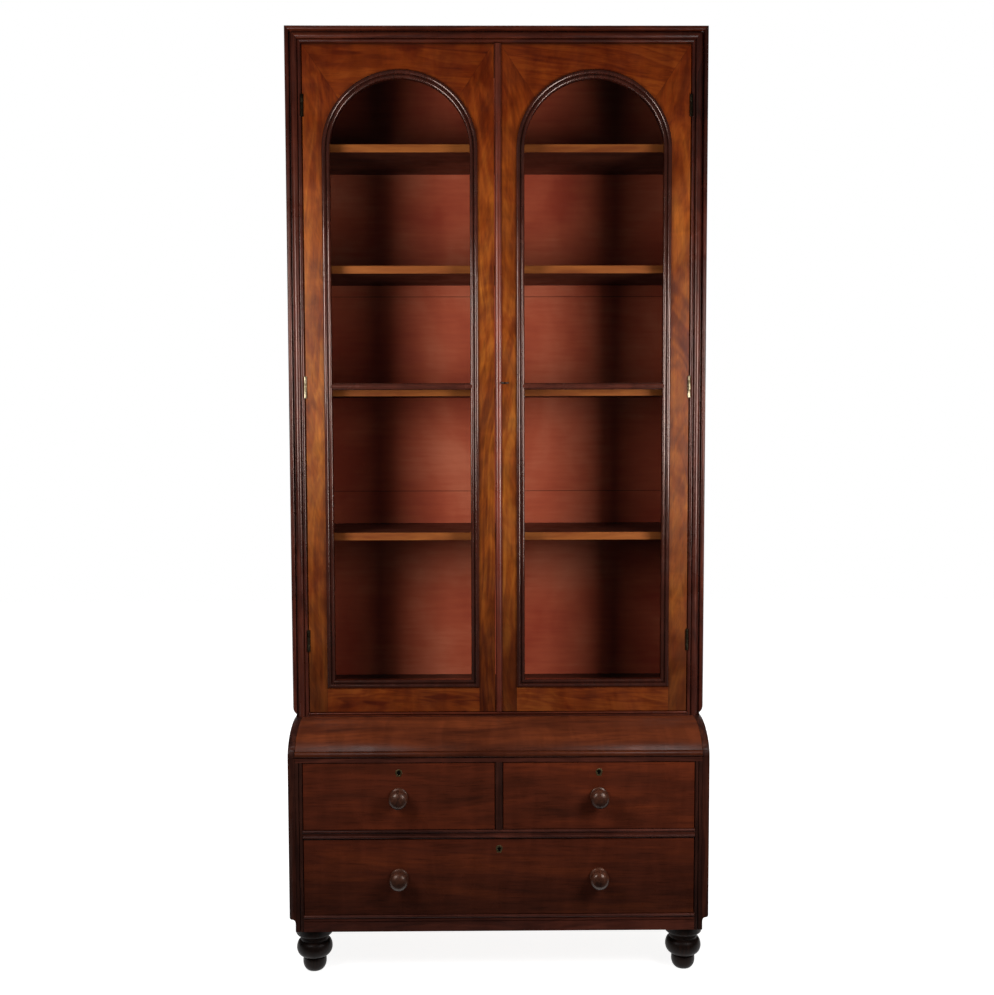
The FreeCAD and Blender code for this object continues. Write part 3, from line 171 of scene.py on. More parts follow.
class NodeBench:
    """A node tree under work, with short calls for what the finishes share."""

    def __init__(self, tree: bpy.types.NodeTree) -> None:
        """Takes the tree to work on."""
        self.tree = tree

    def feed(self, socket: bpy.types.NodeSocket, value: Any) -> None:
        """Links a socket to another one, or sets its own value.

        Args:
            socket: The input to feed.
            value: A socket, a number, a colour or a vector.
        """
        if isinstance(value, bpy.types.NodeSocket):
            self.tree.links.new(value, socket)
        else:
            socket.default_value = (*value, 1.0) if socket.type == "RGBA" else value

    def add(self, kind: str, fed: Mapping[int | str, Any] | None = None, **settings: Any) -> bpy.types.Node:
        """Puts a node in the tree.

        Args:
            kind: Blender's name for the node.
            fed: Value or socket of each input that doesn't stay as it is.
            **settings: Properties of the node.

        Returns:
            The new node.
        """
        node = self.tree.nodes.new(kind)
        for name, value in settings.items():
            setattr(node, name, value)
        for name, value in (fed or {}).items():
            self.feed(node.inputs[name], value)
        return node

    def math(self, operation: str, first: Any, second: Any = 0.0, clamp: bool = False) -> Any:
        """Works a sum out.

        Args:
            operation: Blender's name for the sum.
            first: Socket or number.
            second: Socket or number.
            clamp: Whether the result is kept between 0 and 1.

        Returns:
            The result's socket.
        """
        fed = {0: first, 1: second}
        return self.add("ShaderNodeMath", fed, operation=operation, use_clamp=clamp).outputs[0]

    def total(self, *terms: tuple[Any, Any], clamp: bool = False) -> Any:
        """Adds values, each times its weight.

        Args:
            *terms: Value and weight of each.
            clamp: Whether the result is kept between 0 and 1.

        Returns:
            The total's socket.
        """
        products = [self.math("MULTIPLY", value, weight) for value, weight in terms]
        result = products[0]
        for product in products[1:]:
            result = self.math("ADD", result, product, clamp)
        return result

    def inside(self, value: Any, low: float, high: float) -> Any:
        """How far a value lies inside a span, below 0 outside it."""
        return self.math("MINIMUM", self.math("SUBTRACT", value, low), self.math("SUBTRACT", high, value))

    def mix(self, share: Any, first: Any, second: Any, blend: str = "MIX") -> Any:
        """Mixes two colours.

        Args:
            share: How much of the second colour, 0 to 1.
            first: Socket or colour.
            second: Socket or colour.
            blend: Blender's name for the kind of mix.

        Returns:
            The mixed colour's socket.
        """
        fed = {MIX_SHARE: share, MIX_FIRST: first, MIX_SECOND: second}
        return self.add("ShaderNodeMix", fed, data_type="RGBA", blend_type=blend).outputs[MIX_RESULT]

    def multiplied(self, colour: Any, other: Any) -> Any:
        """One colour times another."""
        return self.mix(1.0, colour, other, "MULTIPLY")

    def spread(self, value: Any, low: float, high: float, out_low: float, out_high: float) -> Any:
        """Carries a value from one span to another with soft ends.

        Args:
            value: Socket to read.
            low: Where the input span starts.
            high: Where the input span ends.
            out_low: Result at the start.
            out_high: Result at the end.

        Returns:
            The result's socket.
        """
        fed = dict(enumerate((value, low, high, out_low, out_high)))
        return self.add("ShaderNodeMapRange", fed, interpolation_type="SMOOTHSTEP").outputs[0]

    def ramp(self, value: Any, stops: Sequence[tuple[float, Colour]]) -> Any:
        """Turns a value into a colour along a ramp.

        Args:
            value: Socket to read.
            stops: Place and colour of each stop, in order.

        Returns:
            The colour's socket.
        """
        node = self.add("ShaderNodeValToRGB", {0: value})
        elements = node.color_ramp.elements
        while len(elements) < len(stops):
            elements.new(1.0)
        for element, (place, colour) in zip(elements, stops):
            element.position = place
            element.color = (*colour, 1.0)
        return node.outputs[0]

    def noise(self, place: Any, soft: Soft) -> Any:
        """Draws a soft random pattern.

        Args:
            place: Vector socket that the pattern is read at.
            soft: The pattern.

        Returns:
            The pattern's value socket.
        """
        return self.add("ShaderNodeTexNoise", {
            "Vector": place,
            "Scale": soft.scale,
            "Detail": soft.detail,
            "Roughness": soft.rough,
            "Distortion": soft.twist,
        }).outputs[0]

    def scaled(self, place: Any, scale: Point) -> Any:
        """Coordinates stretched by a factor along each axis."""
        return self.add("ShaderNodeMapping", {"Vector": place, "Scale": scale}).outputs[0]

    def bent(self, place: Any, scale: float, reach: float) -> Any:
        """Pushes coordinates about by a soft pattern, so that drawn lines wander.

        Args:
            place: Vector socket.
            scale: How fine the pattern is.
            reach: How far it pushes, in metres.

        Returns:
            The bent vector's socket.
        """
        push = self.add("ShaderNodeTexNoise", {"Vector": place, "Scale": scale, "Detail": 1.0})
        fed = {0: push.outputs["Color"], 1: (reach, reach, reach), 2: place}
        return self.add("ShaderNodeVectorMath", fed, operation="MULTIPLY_ADD").outputs[0]

    def joined(self, x: Any, y: Any, z: Any) -> Any:
        """Socket of the vector of three parts."""
        return self.add("ShaderNodeCombineXYZ", {0: x, 1: y, 2: z}).outputs[0]

    def grey(self, level: Any) -> Any:
        """Socket of the grey of a level."""
        return self.joined(level, level, level)

    def parts(self, place: Any) -> tuple[Any, Any, Any]:
        """The x, y and z sockets of a vector."""
        return tuple(self.add("ShaderNodeSeparateXYZ", {0: place}).outputs)

    def bump(self, height: Any, distance: float, strength: float, normal: Any = None) -> Any:
        """Raises a surface by a pattern.

        Args:
            height: Value socket.
            distance: Height of the pattern in metres.
            strength: How much of it shows.
            normal: Normal socket that this one is laid over.

        Returns:
            The normal's socket.
        """
        fed = {"Distance": distance, "Strength": strength, "Height": height}
        if normal is not None:
            fed["Normal"] = normal
        return self.add("ShaderNodeBump", fed).outputs[0]

    def seen(self) -> Any:
        """Marks the rays that are to find white: those of the camera, of a gloss and through glass.

        Returns:
            Socket that is 1 for those rays and 0 for the others.
        """
        light = self.add("ShaderNodeLightPath")
        seen = light.outputs["Is Camera Ray"]
        for ray in ("Is Glossy Ray", "Is Transmission Ray"):
            seen = self.math("MAXIMUM", seen, light.outputs[ray])
        return seen


class MaterialBench(NodeBench):
    """The tree of a new material, with its Principled shader and its output."""

    def __init__(self, name: str) -> None:
        """Makes the material.

        Args:
            name: Name of the finish.
        """
        self.material = bpy.data.materials.new(name)
        self.material.use_nodes = True
        super().__init__(self.material.node_tree)
        self.tree.nodes.clear()
        self.shader = self.add("ShaderNodeBsdfPrincipled")
        self.output = self.add("ShaderNodeOutputMaterial", {"Surface": self.shader.outputs[0]})

    @cached_property
    def place(self) -> Any:
        """Socket of the piece's own coordinates."""
        return self.add("ShaderNodeTexCoord").outputs["Object"]

    def toned(self, colour: Any, painted_light_and_tone: Sequence[Tone]) -> Any:
        """Multiplies painted light and shade by height into a colour.

        Args:
            colour: Colour socket.
            painted_light_and_tone: Painted light and shade by height, from the lowest to the highest, or
                none.

        Returns:
            The toned colour's socket.
        """
        if not painted_light_and_tone:
            return colour
        low, high = painted_light_and_tone[0].level, painted_light_and_tone[-1].level
        height = self.parts(self.place)[2]
        share = self.math("DIVIDE", self.math("SUBTRACT", height, low), high - low, clamp=True)
        stops = [((tone.level - low) / (high - low), tone.colour) for tone in painted_light_and_tone]
        return self.multiplied(colour, self.ramp(share, stops))

    def shade(self, fed: Mapping[str, Any]) -> bpy.types.Material:
        """Feeds the Principled shader.

        Args:
            fed: Value or socket of each input that doesn't stay as it is.

        Returns:
            The finished material.
        """
        for name, value in fed.items():
            self.feed(self.shader.inputs[name], value)
        return self.material

    def show(self, shader: bpy.types.Node) -> bpy.types.Material:
        """Shows another shader in place of the Principled one.

        Args:
            shader: The shader's node.

        Returns:
            The finished material.
        """
        self.tree.nodes.remove(self.shader)
        self.feed(self.output.inputs["Surface"], shader.outputs[0])
        return self.material


@dataclass(frozen=True)
class Tone:
    """Painted light and shade that a finish takes at one height, multiplied into its colour; on the doors
    also the wood's own tone.
    """

    level: float
    colour: Colour


@dataclass(frozen=True)
class WoodFinish:
    """Polished or plain wood with its figure, streaks, pores and tone."""

    name: str
    pale: Colour
    middle: Colour
    dark: Colour
    stops: tuple[float, float, float] = (0.34, 0.5, 0.66)
    grain: Grain = Grain.ACROSS
    figure: float = 7.0
    stretch: float = 9.0
    twist: float = 1.1
    streaks: float = 0.35
    streak_fineness: float = 7.0
    rings: float = 0.05
    ring_count: float = 70.0
    warp: float = 0.05
    warp_scale: float = 2.6
    ribbon: float = 0.1
    ribbon_scales: Pair = (7.0, 24.0)
    pores: float = 0.35
    pore_stretch: float = 3.0
    pore_span: Pair = (0.52, 0.72)
    rough: float = 0.34
    rough_less: float = 0.05
    rough_more: float = 0.09
    coat: float = 0.2
    coat_rough: float = 0.14
    specular: float = 0.25
    gleam: Colour = WHITE
    ripple: float = 0.22
    pore_relief: float = 0.35
    # Painted light and shade by height, multiplied into the colour; on the doors also the wood's own tone.
    painted_light_and_tone: tuple[Tone, ...] = ()

    def pattern(self, bench: MaterialBench, grain: Grain) -> tuple[Any, Any]:
        """Lays the figure and the pores out along one direction.

        Args:
            bench: Bench of the material.
            grain: The way the grain runs.

        Returns:
            Sockets of the colour and of the pores.
        """
        bent = bench.bent(bench.place, self.warp_scale, self.warp)
        drawn = bench.scaled(bent, grain_scale(grain, 1.0, 1 / self.stretch))
        figure = bench.noise(drawn, Soft(self.figure, 4.0, 0.55, self.twist))
        streak = bench.noise(drawn, Soft(self.figure * self.streak_fineness, 3.0, 0.6, 0.25))
        ring = bench.math("SINE", bench.math("MULTIPLY", figure, self.ring_count))
        value = bench.total((figure, 1 - self.streaks), (streak, self.streaks), (ring, self.rings))
        colour = bench.ramp(value, tuple(zip(self.stops, (self.dark, self.middle, self.pale))))
        ribbon = bench.noise(bench.scaled(bent, grain_scale(grain, *self.ribbon_scales)), RIBBON)
        light = bench.spread(ribbon, *PATTERN_SPAN, 1 - self.ribbon, 1 + self.ribbon)
        pore_scale = grain_scale(grain, 1.0, 1 / (self.stretch * self.pore_stretch))
        pore = bench.noise(bench.scaled(bench.place, pore_scale), PORES)
        pores = bench.spread(pore, *self.pore_span, 0.0, 1.0)
        shade = bench.math("SUBTRACT", 1.0, bench.math("MULTIPLY", pores, self.pores))
        return bench.multiplied(colour, bench.grey(bench.math("MULTIPLY", light, shade))), pores

    def surface(self, bench: MaterialBench, colour: Any, pores: Any) -> bpy.types.Material:
        """Feeds the shader its colour, gloss and relief.

        Args:
            bench: Bench of the material.
            colour: Colour socket.
            pores: Pore mask socket.

        Returns:
            The finished material.
        """
        wear = bench.noise(bench.place, WEAR)
        rough = bench.spread(wear, *PATTERN_SPAN, self.rough - self.rough_less, self.rough + self.rough_more)
        ripple = bench.bump(bench.noise(bench.place, POLISH_RIPPLE), RIPPLE_HEIGHT, self.ripple)
        grooves = bench.math("SUBTRACT", 1.0, pores)
        return bench.shade({
            "Base Color": colour,
            "Roughness": rough,
            "Specular IOR Level": self.specular,
            "Specular Tint": self.gleam,
            "Coat Weight": self.coat,
            "Coat Roughness": self.coat_rough,
            "Normal": bench.bump(grooves, PORE_DEPTH, self.pore_relief, ripple),
        })

    def material(self) -> bpy.types.Material:
        """Makes the material.

        Returns:
            The finished material.
        """
        bench = MaterialBench(self.name)
        colour, pores = self.pattern(bench, self.grain)
        return self.surface(bench, bench.toned(colour, self.painted_light_and_tone), pores)


@dataclass(frozen=True)
class DoorVeneer(WoodFinish):
    """Door veneer: upright on the stiles, lying on the rails, mitred at the head and butted at the foot."""

    corner_outer: float = 0.488
    corner_inner: float = 0.0085
    mitre_slope: float = 1.5
    head_from: float = 1.9
    foot_joint_inner: float = 0.048
    foot_joint_outer: float = 0.442
    head_joint_width: float = 0.00096
    foot_joint_width: float = 0.0006
    joint_tone: float = 0.62
    foot_gain: float = 0.8
    flame: float = 0.22
    flame_gleam: float = 0.7
    flame_lean: float = 0.42
    flame_bend: Pair = (5.0, 0.03)
    flame_scales: Pair = (0.35, 0.09)
    flame_span: Pair = (0.36, 0.64)
    broad_share: float = 0.6
    cloud_tone: Colour = (0.66, 0.5, 0.42)
    cloud_scale: Point = (1.0, 1.0, 0.6)
    cloud_stops: Pair = (0.36, 0.56)

    def rail_mask(self, bench: MaterialBench) -> tuple[Any, Any]:
        """Finds where the grain lies down.

        Args:
            bench: Bench of the material.

        Returns:
            Sockets of the mask of the rails and of the mask of the joint lines.
        """
        x, _, z = bench.parts(bench.place)
        side = bench.math("ABSOLUTE", x)
        inside = bench.inside(side, self.corner_inner, self.corner_outer)
        below = bench.math("SUBTRACT", DOOR_HEAD, z)
        head = bench.math("SUBTRACT", bench.math("MULTIPLY", inside, self.mitre_slope), below)
        foot = bench.inside(side, self.foot_joint_inner, self.foot_joint_outer)
        upper = bench.math("GREATER_THAN", z, self.head_from)
        under = bench.math("LESS_THAN", z, SIGHT_FOOT)
        rails, lines = [], []
        for depth, width, half in (
            (head, self.head_joint_width, upper),
            (foot, self.foot_joint_width, under),
        ):
            rails.append((bench.math("GREATER_THAN", depth, 0.0), half))
            lines.append((bench.math("LESS_THAN", bench.math("ABSOLUTE", depth), width), half))
        return bench.total(*rails, clamp=True), bench.total(*lines, clamp=True)

    def flamed(self, bench: MaterialBench, colour: Any) -> Any:
        """Lays the flame figure over a colour: strokes that rise and lean away from the middle of each door.

        Args:
            bench: Bench of the material.
            colour: Colour socket.

        Returns:
            The figured colour's socket.
        """
        x, _, z = bench.parts(bench.bent(bench.place, *self.flame_bend))
        aside = bench.math("ABSOLUTE", bench.math("SUBTRACT", bench.math("ABSOLUTE", x), DOOR_MIDDLE))
        lean = bench.math("SUBTRACT", aside, bench.math("MULTIPLY", z, self.flame_lean))
        x_scale, z_scale = self.flame_scales
        stroke = bench.joined(lean, bench.math("MULTIPLY", x, x_scale), bench.math("MULTIPLY", z, z_scale))
        broad, narrow = bench.noise(stroke, BROAD_FLAME), bench.noise(stroke, NARROW_FLAME)
        both = bench.total((broad, self.broad_share), (narrow, 1 - self.broad_share))
        light = bench.spread(both, *self.flame_span, 1 - self.flame, 1 + self.flame * self.flame_gleam)
        return bench.multiplied(colour, bench.grey(light))

    def material(self) -> bpy.types.Material:
        """Makes the material.

        Returns:
            The finished material.
        """
        bench = MaterialBench(self.name)
        upright, upright_pores = self.pattern(bench, Grain.UPRIGHT)
        lying, lying_pores = self.pattern(bench, Grain.ACROSS)
        low = bench.math("LESS_THAN", bench.parts(bench.place)[2], SIGHT_FOOT)
        gain = bench.math("ADD", 1.0, bench.math("MULTIPLY", low, self.foot_gain))
        mask, lines = self.rail_mask(bench)
        colour = bench.mix(mask, self.flamed(bench, upright), bench.multiplied(lying, bench.grey(gain)))
        cloud = bench.noise(bench.scaled(bench.place, self.cloud_scale), VENEER_CLOUDS)
        clouds = bench.ramp(cloud, tuple(zip(self.cloud_stops, (self.cloud_tone, WHITE))))
        clouded = bench.multiplied(colour, clouds)
        line_tone = bench.math("MULTIPLY", lines, 1 - self.joint_tone)
        pores = bench.total((upright_pores, bench.math("SUBTRACT", 1.0, mask)), (lying_pores, mask))
        return self.surface(bench, bench.mix(line_tone, bench.toned(clouded, self.painted_light_and_tone), BLACK), pores)


@dataclass(frozen=True)
class ShelfFinish(WoodFinish):
    """Shelf: polished lighter front edge with painted shadow near both ends, where the doors' frames shade
    it, and darker faces.
    """

    edge_plane: float = -0.0305
    edge_pale: Colour = from_screen(198, 112, 54)
    edge_dark: Colour = from_screen(152, 76, 38)
    edge_stops: Pair = (0.35, 0.62)
    edge_scale: Point = (0.12, 1.0, 1.0)
    painted_shadow_span: Pair = (0.40, 0.47)
    painted_end_shadow: float = 0.75

    def material(self) -> bpy.types.Material:
        """Makes the material.

        Returns:
            The finished material.
        """
        bench = MaterialBench(self.name)
        colour, pores = self.pattern(bench, self.grain)
        x, y, _ = bench.parts(bench.place)
        edge = bench.math("LESS_THAN", y, self.edge_plane)
        streak = bench.noise(bench.scaled(bench.place, self.edge_scale), EDGE_STREAKS)
        edge_colour = bench.ramp(streak, tuple(zip(self.edge_stops, (self.edge_dark, self.edge_pale))))
        # Painted shadow: the front edge darkens towards both ends, where the doors' frames shade it.
        ends = bench.spread(bench.math("ABSOLUTE", x), *self.painted_shadow_span, 0.0, self.painted_end_shadow)
        edge_colour = bench.mix(ends, edge_colour, self.dark)
        return self.surface(bench, bench.mix(edge, colour, edge_colour), pores)


@dataclass(frozen=True)
class PaintedBack:
    """Back boards: matt terracotta paint inside, bare stained softwood behind."""

    name: str = "terracotta_back"
    pale: Colour = from_screen(208, 108, 78)
    middle: Colour = from_screen(192, 85, 56)
    dark: Colour = from_screen(172, 64, 40)
    stops: tuple[float, float, float] = (0.36, 0.5, 0.64)
    behind: Colour = from_screen(112, 82, 56)
    behind_dark: Colour = from_screen(78, 54, 36)
    behind_stops: Pair = (0.35, 0.65)
    paint_plane: float = 0.2605
    brush_scale: Point = (0.1, 1.0, 1.0)
    cloud_share: float = 0.75
    joints: tuple[float, ...] = (1.198, 1.746)
    joint_half: float = 0.0011
    joint_tone: float = 0.6
    rough: Pair = (0.62, 0.8)
    specular: float = 0.25
    brush_height: float = 0.0003
    brush_relief: float = 0.4

    def material(self) -> bpy.types.Material:
        """Makes the material.

        Returns:
            The finished material.
        """
        bench = MaterialBench(self.name)
        _, y, z = bench.parts(bench.place)
        drawn = bench.scaled(bench.place, self.brush_scale)
        brush, cloud = bench.noise(drawn, BRUSH_MARKS), bench.noise(bench.place, PAINT_CLOUDS)
        value = bench.total((cloud, self.cloud_share), (brush, 1 - self.cloud_share))
        paint = bench.ramp(value, tuple(zip(self.stops, (self.dark, self.middle, self.pale))))
        figure = bench.noise(drawn, BARE_FIGURE)
        wood = bench.ramp(figure, tuple(zip(self.behind_stops, (self.behind_dark, self.behind))))
        colour = bench.mix(bench.math("GREATER_THAN", y, self.paint_plane), paint, wood)
        for level in self.joints:
            away = bench.math("ABSOLUTE", bench.math("SUBTRACT", z, level))
            line = bench.math("MULTIPLY", bench.math("LESS_THAN", away, self.joint_half), self.joint_tone)
            colour = bench.mix(line, colour, BLACK)
        return bench.shade({
            "Base Color": colour,
            "Roughness": bench.spread(brush, *PATTERN_SPAN, *self.rough),
            "Specular IOR Level": self.specular,
            "Normal": bench.bump(brush, self.brush_height, self.brush_relief),
        })


@dataclass(frozen=True)
class MetalFinish:
    """Old metal, dulled and spotted at random, its bright spots smoother; the hinges take painted light and
    shade by height.
    """

    name: str
    bright: Colour
    dull: Colour
    rough: float = 0.32
    dull_rough: float = 0.15
    spot_stops: Pair = (0.4, 0.62)
    spot_span: Pair = (0.35, 0.7)
    pit_height: float = 0.0001
    pit_relief: float = 0.25
    # Painted light and shade by height, multiplied into the colour.
    painted_light_and_tone: tuple[Tone, ...] = ()

    def material(self) -> bpy.types.Material:
        """Makes the material.

        Returns:
            The finished material.
        """
        bench = MaterialBench(self.name)
        spots = bench.noise(bench.place, METAL_SPOTS)
        colour = bench.ramp(spots, tuple(zip(self.spot_stops, (self.dull, self.bright))))
        pits = bench.noise(bench.place, METAL_PITS)
        return bench.shade({
            "Base Color": bench.toned(colour, self.painted_light_and_tone),
            "Roughness": bench.spread(spots, *self.spot_span, self.rough + self.dull_rough, self.rough),
            "Metallic": 1.0,
            "Normal": bench.bump(pits, self.pit_height, self.pit_relief),
        })


@dataclass(frozen=True)
class PaneGlass:
    """Clear thin window glass with a faint ripple."""

    name: str = "window_glass"
    tint: Colour = (0.97, 0.985, 0.975)
    straight_gloss: float = 0.04
    gloss: Colour = (0.12, 0.12, 0.12)
    gloss_rough: float = 0.02
    ripple_height: float = 0.0008
    ripple: float = 0.2
    wave_scale: Point = (1.0, 1.0, 0.5)

    def material(self) -> bpy.types.Material:
        """Makes the material.

        Returns:
            The finished material.
        """
        bench = MaterialBench(self.name)
        waves = bench.noise(bench.scaled(bench.place, self.wave_scale), GLASS_WAVES)
        clear = bench.add("ShaderNodeBsdfTransparent", {"Color": self.tint})
        gloss = bench.add("ShaderNodeBsdfGlossy", {
            "Color": self.gloss,
            "Roughness": self.gloss_rough,
            "Normal": bench.bump(waves, self.ripple_height, self.ripple),
        })
        slant = bench.math("POWER", bench.add("ShaderNodeLayerWeight").outputs["Facing"], SLANT_POWER)
        rise = bench.math("MULTIPLY", slant, 1 - self.straight_gloss)
        share = bench.math("ADD", rise, self.straight_gloss)
        fed = {0: share, 1: clear.outputs[0], 2: gloss.outputs[0]}
        return bench.show(bench.add("ShaderNodeMixShader", fed))


@dataclass(frozen=True)
class StageFinish:
    """White paper of the floor, which shows white and keeps the object's shadow."""

    name: str = "white_paper"
    paper: Colour = (0.62, 0.62, 0.62)
    reach: Pair = (0.75, 1.7)
    glow: Pair = (0.9, 1.0)

    def material(self) -> bpy.types.Material:
        """Makes the material.

        Returns:
            The finished material.
        """
        bench = MaterialBench(self.name)
        paper = bench.add("ShaderNodeBsdfDiffuse", {"Color": self.paper})
        away = bench.add("ShaderNodeVectorMath", {0: bench.place}, operation="LENGTH").outputs["Value"]
        level = bench.spread(away, *self.reach, *self.glow)
        glow = bench.add("ShaderNodeEmission", {"Strength": bench.math("MULTIPLY", bench.seen(), level)})
        return bench.show(bench.add("ShaderNodeAddShader", {0: paper.outputs[0], 1: glow.outputs[0]}))


@dataclass(frozen=True)
class DimWall:
    """Dim wall of the room round the lamps, which only the gloss of the cabinet sees."""

    name: str = "dim_wall"

    def material(self) -> bpy.types.Material:
        """Makes the material, a plain glow."""
        bench = MaterialBench(self.name)
        return bench.show(bench.add("ShaderNodeEmission", {"Strength": DIM_GLOW}))


# Painted shade on the door veneer by height: darker towards the foot and the head, with a painted shadow
# line along the head's top edge; the head's redder cast is also the wood's own tone.
DOOR_PAINTED_SHADE_AND_TONE = (
    Tone(0.646, (0.3, 0.22, 0.26)),
    Tone(0.76, (0.36, 0.28, 0.31)),
    Tone(0.95, (0.6, 0.51, 0.48)),
    Tone(1.3, (0.84, 0.8, 0.75)),
    Tone(1.75, (1.0, 0.95, 0.9)),
    Tone(2.05, (0.88, 0.66, 0.52)),
    Tone(2.2, (0.74, 0.46, 0.36)),
    Tone(2.334, (0.62, 0.34, 0.28)),
    Tone(2.3365, (0.2, 0.13, 0.11)),
    Tone(2.341, (0.2, 0.13, 0.11)),
)
# Painted highlight on the meeting bead, brightest round mid-height, with painted shade towards both ends.
BEAD_PAINTED_LIGHT = (
    Tone(0.646, (0.4, 0.34, 0.3)),
    Tone(0.879, (0.46, 0.38, 0.34)),
    Tone(1.033, (0.55, 0.44, 0.4)),
    Tone(1.187, (0.82, 0.7, 0.6)),
    Tone(1.546, (1.0, 0.94, 0.88)),
    Tone(1.7, (1.0, 1.0, 0.92)),
    Tone(1.854, (0.86, 0.82, 0.72)),
    Tone(2.01, (0.58, 0.52, 0.48)),
    Tone(2.341, (0.4, 0.36, 0.32)),
)
# Painted shade on the glazing moulding: darker towards its foot and towards the arch.
RING_PAINTED_SHADE = (
    Tone(0.70, (0.52, 0.48, 0.46)),
    Tone(1.0, (0.72, 0.68, 0.66)),
    Tone(1.45, (1.0, 1.0, 1.0)),
    Tone(1.8, (1.0, 1.0, 1.0)),
    Tone(2.29, (0.7, 0.62, 0.58)),
)
# Painted light on the hinges: the middle pair lit, the upper and lower pairs in painted shade.
HINGE_PAINTED_LIGHT = (
    Tone(0.82, (0.16, 0.15, 0.15)),
    Tone(1.1, (0.3, 0.28, 0.26)),
    Tone(1.42, (1.0, 1.0, 1.0)),
    Tone(1.54, (1.0, 1.0, 1.0)),
    Tone(1.8, (0.3, 0.28, 0.26)),
    Tone(2.2, (0.14, 0.13, 0.13)),
)
# Painted light on each knob: its upper half lit, its lower half in painted shade.
KNOB_PAINTED_LIGHT = tuple(
    Tone(level + height, colour)
    for level in (LONG_KNOB_LEVEL, SHORT_KNOB_LEVEL)
    for height, colour in (
        (-0.022, (0.4, 0.4, 0.44)),
        (-0.002, (0.62, 0.6, 0.6)),
        (0.02, (1.0, 0.94, 0.88)),
    )
)
# Painted shade on the cushion's lower part and its bead, where the front turns down away from the lamps.
CUSHION_PAINTED_SHADE = (
    Tone(0.5628, (0.5, 0.52, 0.6)),
    Tone(0.577, (0.56, 0.56, 0.62)),
    Tone(0.585, (0.6, 0.6, 0.62)),
    Tone(0.604, (0.86, 0.84, 0.82)),
    Tone(0.634, (1.0, 1.0, 1.0)),
)
# Painted shade on the drawer fronts: darker towards the foot, with dark painted shadow bands along the
# drawers' edges.
DRAWER_PAINTED_SHADE = (
    Tone(0.179, (0.54, 0.64, 0.76)),
    Tone(0.25, (0.64, 0.71, 0.8)),
    Tone(0.325, (0.84, 0.86, 0.9)),
    Tone(0.353, (0.9, 0.9, 0.92)),
    Tone(0.3555, (0.3, 0.32, 0.34)),
    Tone(0.3795, (0.3, 0.32, 0.34)),
    Tone(0.382, (0.94, 0.93, 0.9)),
    Tone(0.455, (0.88, 0.88, 0.88)),
    Tone(0.525, (1.0, 0.96, 0.9)),
    Tone(0.547, (1.0, 0.96, 0.9)),
    Tone(0.5495, (0.3, 0.32, 0.34)),
    Tone(0.551, (0.3, 0.32, 0.34)),
)
DOOR_VENEER = DoorVeneer(
    name="door_veneer",
    pale=from_screen(196, 118, 42),
    middle=from_screen(166, 88, 27),
    dark=from_screen(118, 51, 16),
    figure=6.0,
    stretch=7.0,
    twist=1.6,
    pores=0.25,
    painted_light_and_tone=DOOR_PAINTED_SHADE_AND_TONE,
)
MOULDING_UPRIGHT = WoodFinish(
    name="moulding_upright",
    pale=from_screen(100, 44, 28),
    middle=from_screen(74, 29, 19),
    dark=from_screen(46, 17, 12),
    grain=Grain.UPRIGHT,
    figure=9.0,
    rough=0.26,
    coat=0.18,
    coat_rough=0.2,
    specular=0.72,
    gleam=(1.0, 0.7, 0.6),
    ripple=0.05,
    pore_relief=0.05,
)
# Meeting bead: its pale pinkish colours are partly painted sheen, the lamps' glare on the round, besides the
# wood's own colour.
BEAD_WOOD_PAINTED_SHEEN = WoodFinish(
    name="meeting_bead_painted_sheen",
    pale=from_screen(180, 86, 58),
    middle=from_screen(150, 68, 47),
    dark=from_screen(112, 50, 36),
    grain=Grain.UPRIGHT,
    figure=9.0,
    rough=0.3,
    coat=0.45,
    coat_rough=0.26,
    specular=0.8,
    gleam=(1.0, 0.76, 0.66),
    ripple=0.02,
    pore_relief=0.05,
    painted_light_and_tone=BEAD_PAINTED_LIGHT,
)
MOULDING_ACROSS = WoodFinish(
    name="moulding_across",
    pale=from_screen(112, 48, 26),
    middle=from_screen(86, 34, 19),
    dark=from_screen(52, 20, 13),
    figure=9.0,
    rough=0.3,
    coat=0.5,
    coat_rough=0.2,
    ripple=0.05,
    pore_relief=0.05,
)
CASE_UPRIGHT = WoodFinish(
    name="case_upright",
    pale=from_screen(88, 45, 31),
    middle=from_screen(62, 30, 22),
    dark=from_screen(40, 19, 15),
    grain=Grain.UPRIGHT,
    rough=0.4,
    coat=0.0,
    specular=0.14,
)
CASE_ACROSS = replace(CASE_UPRIGHT, name="case_across", grain=Grain.ACROSS)
CUSHION = WoodFinish(
    name="cushion_veneer",
    pale=from_screen(140, 68, 36),
    middle=from_screen(110, 52, 30),
    dark=from_screen(78, 36, 23),
    figure=5.0,
    stretch=9.0,
    twist=1.4,
    streaks=0.45,
    rings=0.02,
    warp=0.05,
    ribbon=0.12,
    coat=0.0,
    specular=0.12,
    painted_light_and_tone=CUSHION_PAINTED_SHADE,
)
DRAWER = WoodFinish(
    name="drawer_veneer",
    pale=from_screen(134, 60, 32),
    middle=from_screen(104, 46, 28),
    dark=from_screen(74, 34, 22),
    figure=5.0,
    stretch=9.0,
    twist=1.2,
    streaks=0.45,
    rings=0.018,
    warp=0.05,
    rough=0.3,
    coat=0.0,
    specular=0.14,
    painted_light_and_tone=DRAWER_PAINTED_SHADE,
)
RAIL = WoodFinish(
    name="rail_moulding",
    coat=0.0,
    specular=0.16,
    rough=0.36,
    pale=from_screen(102, 51, 38),
    middle=from_screen(80, 39, 29),
    dark=from_screen(56, 27, 21),
)
STILE = WoodFinish(
    name="stile_moulding",
    coat=0.0,
    specular=0.1,
    rough=0.5,
    pale=from_screen(74, 39, 29),
    middle=from_screen(56, 29, 22),
    dark=from_screen(38, 20, 16),
    grain=Grain.UPRIGHT,
)
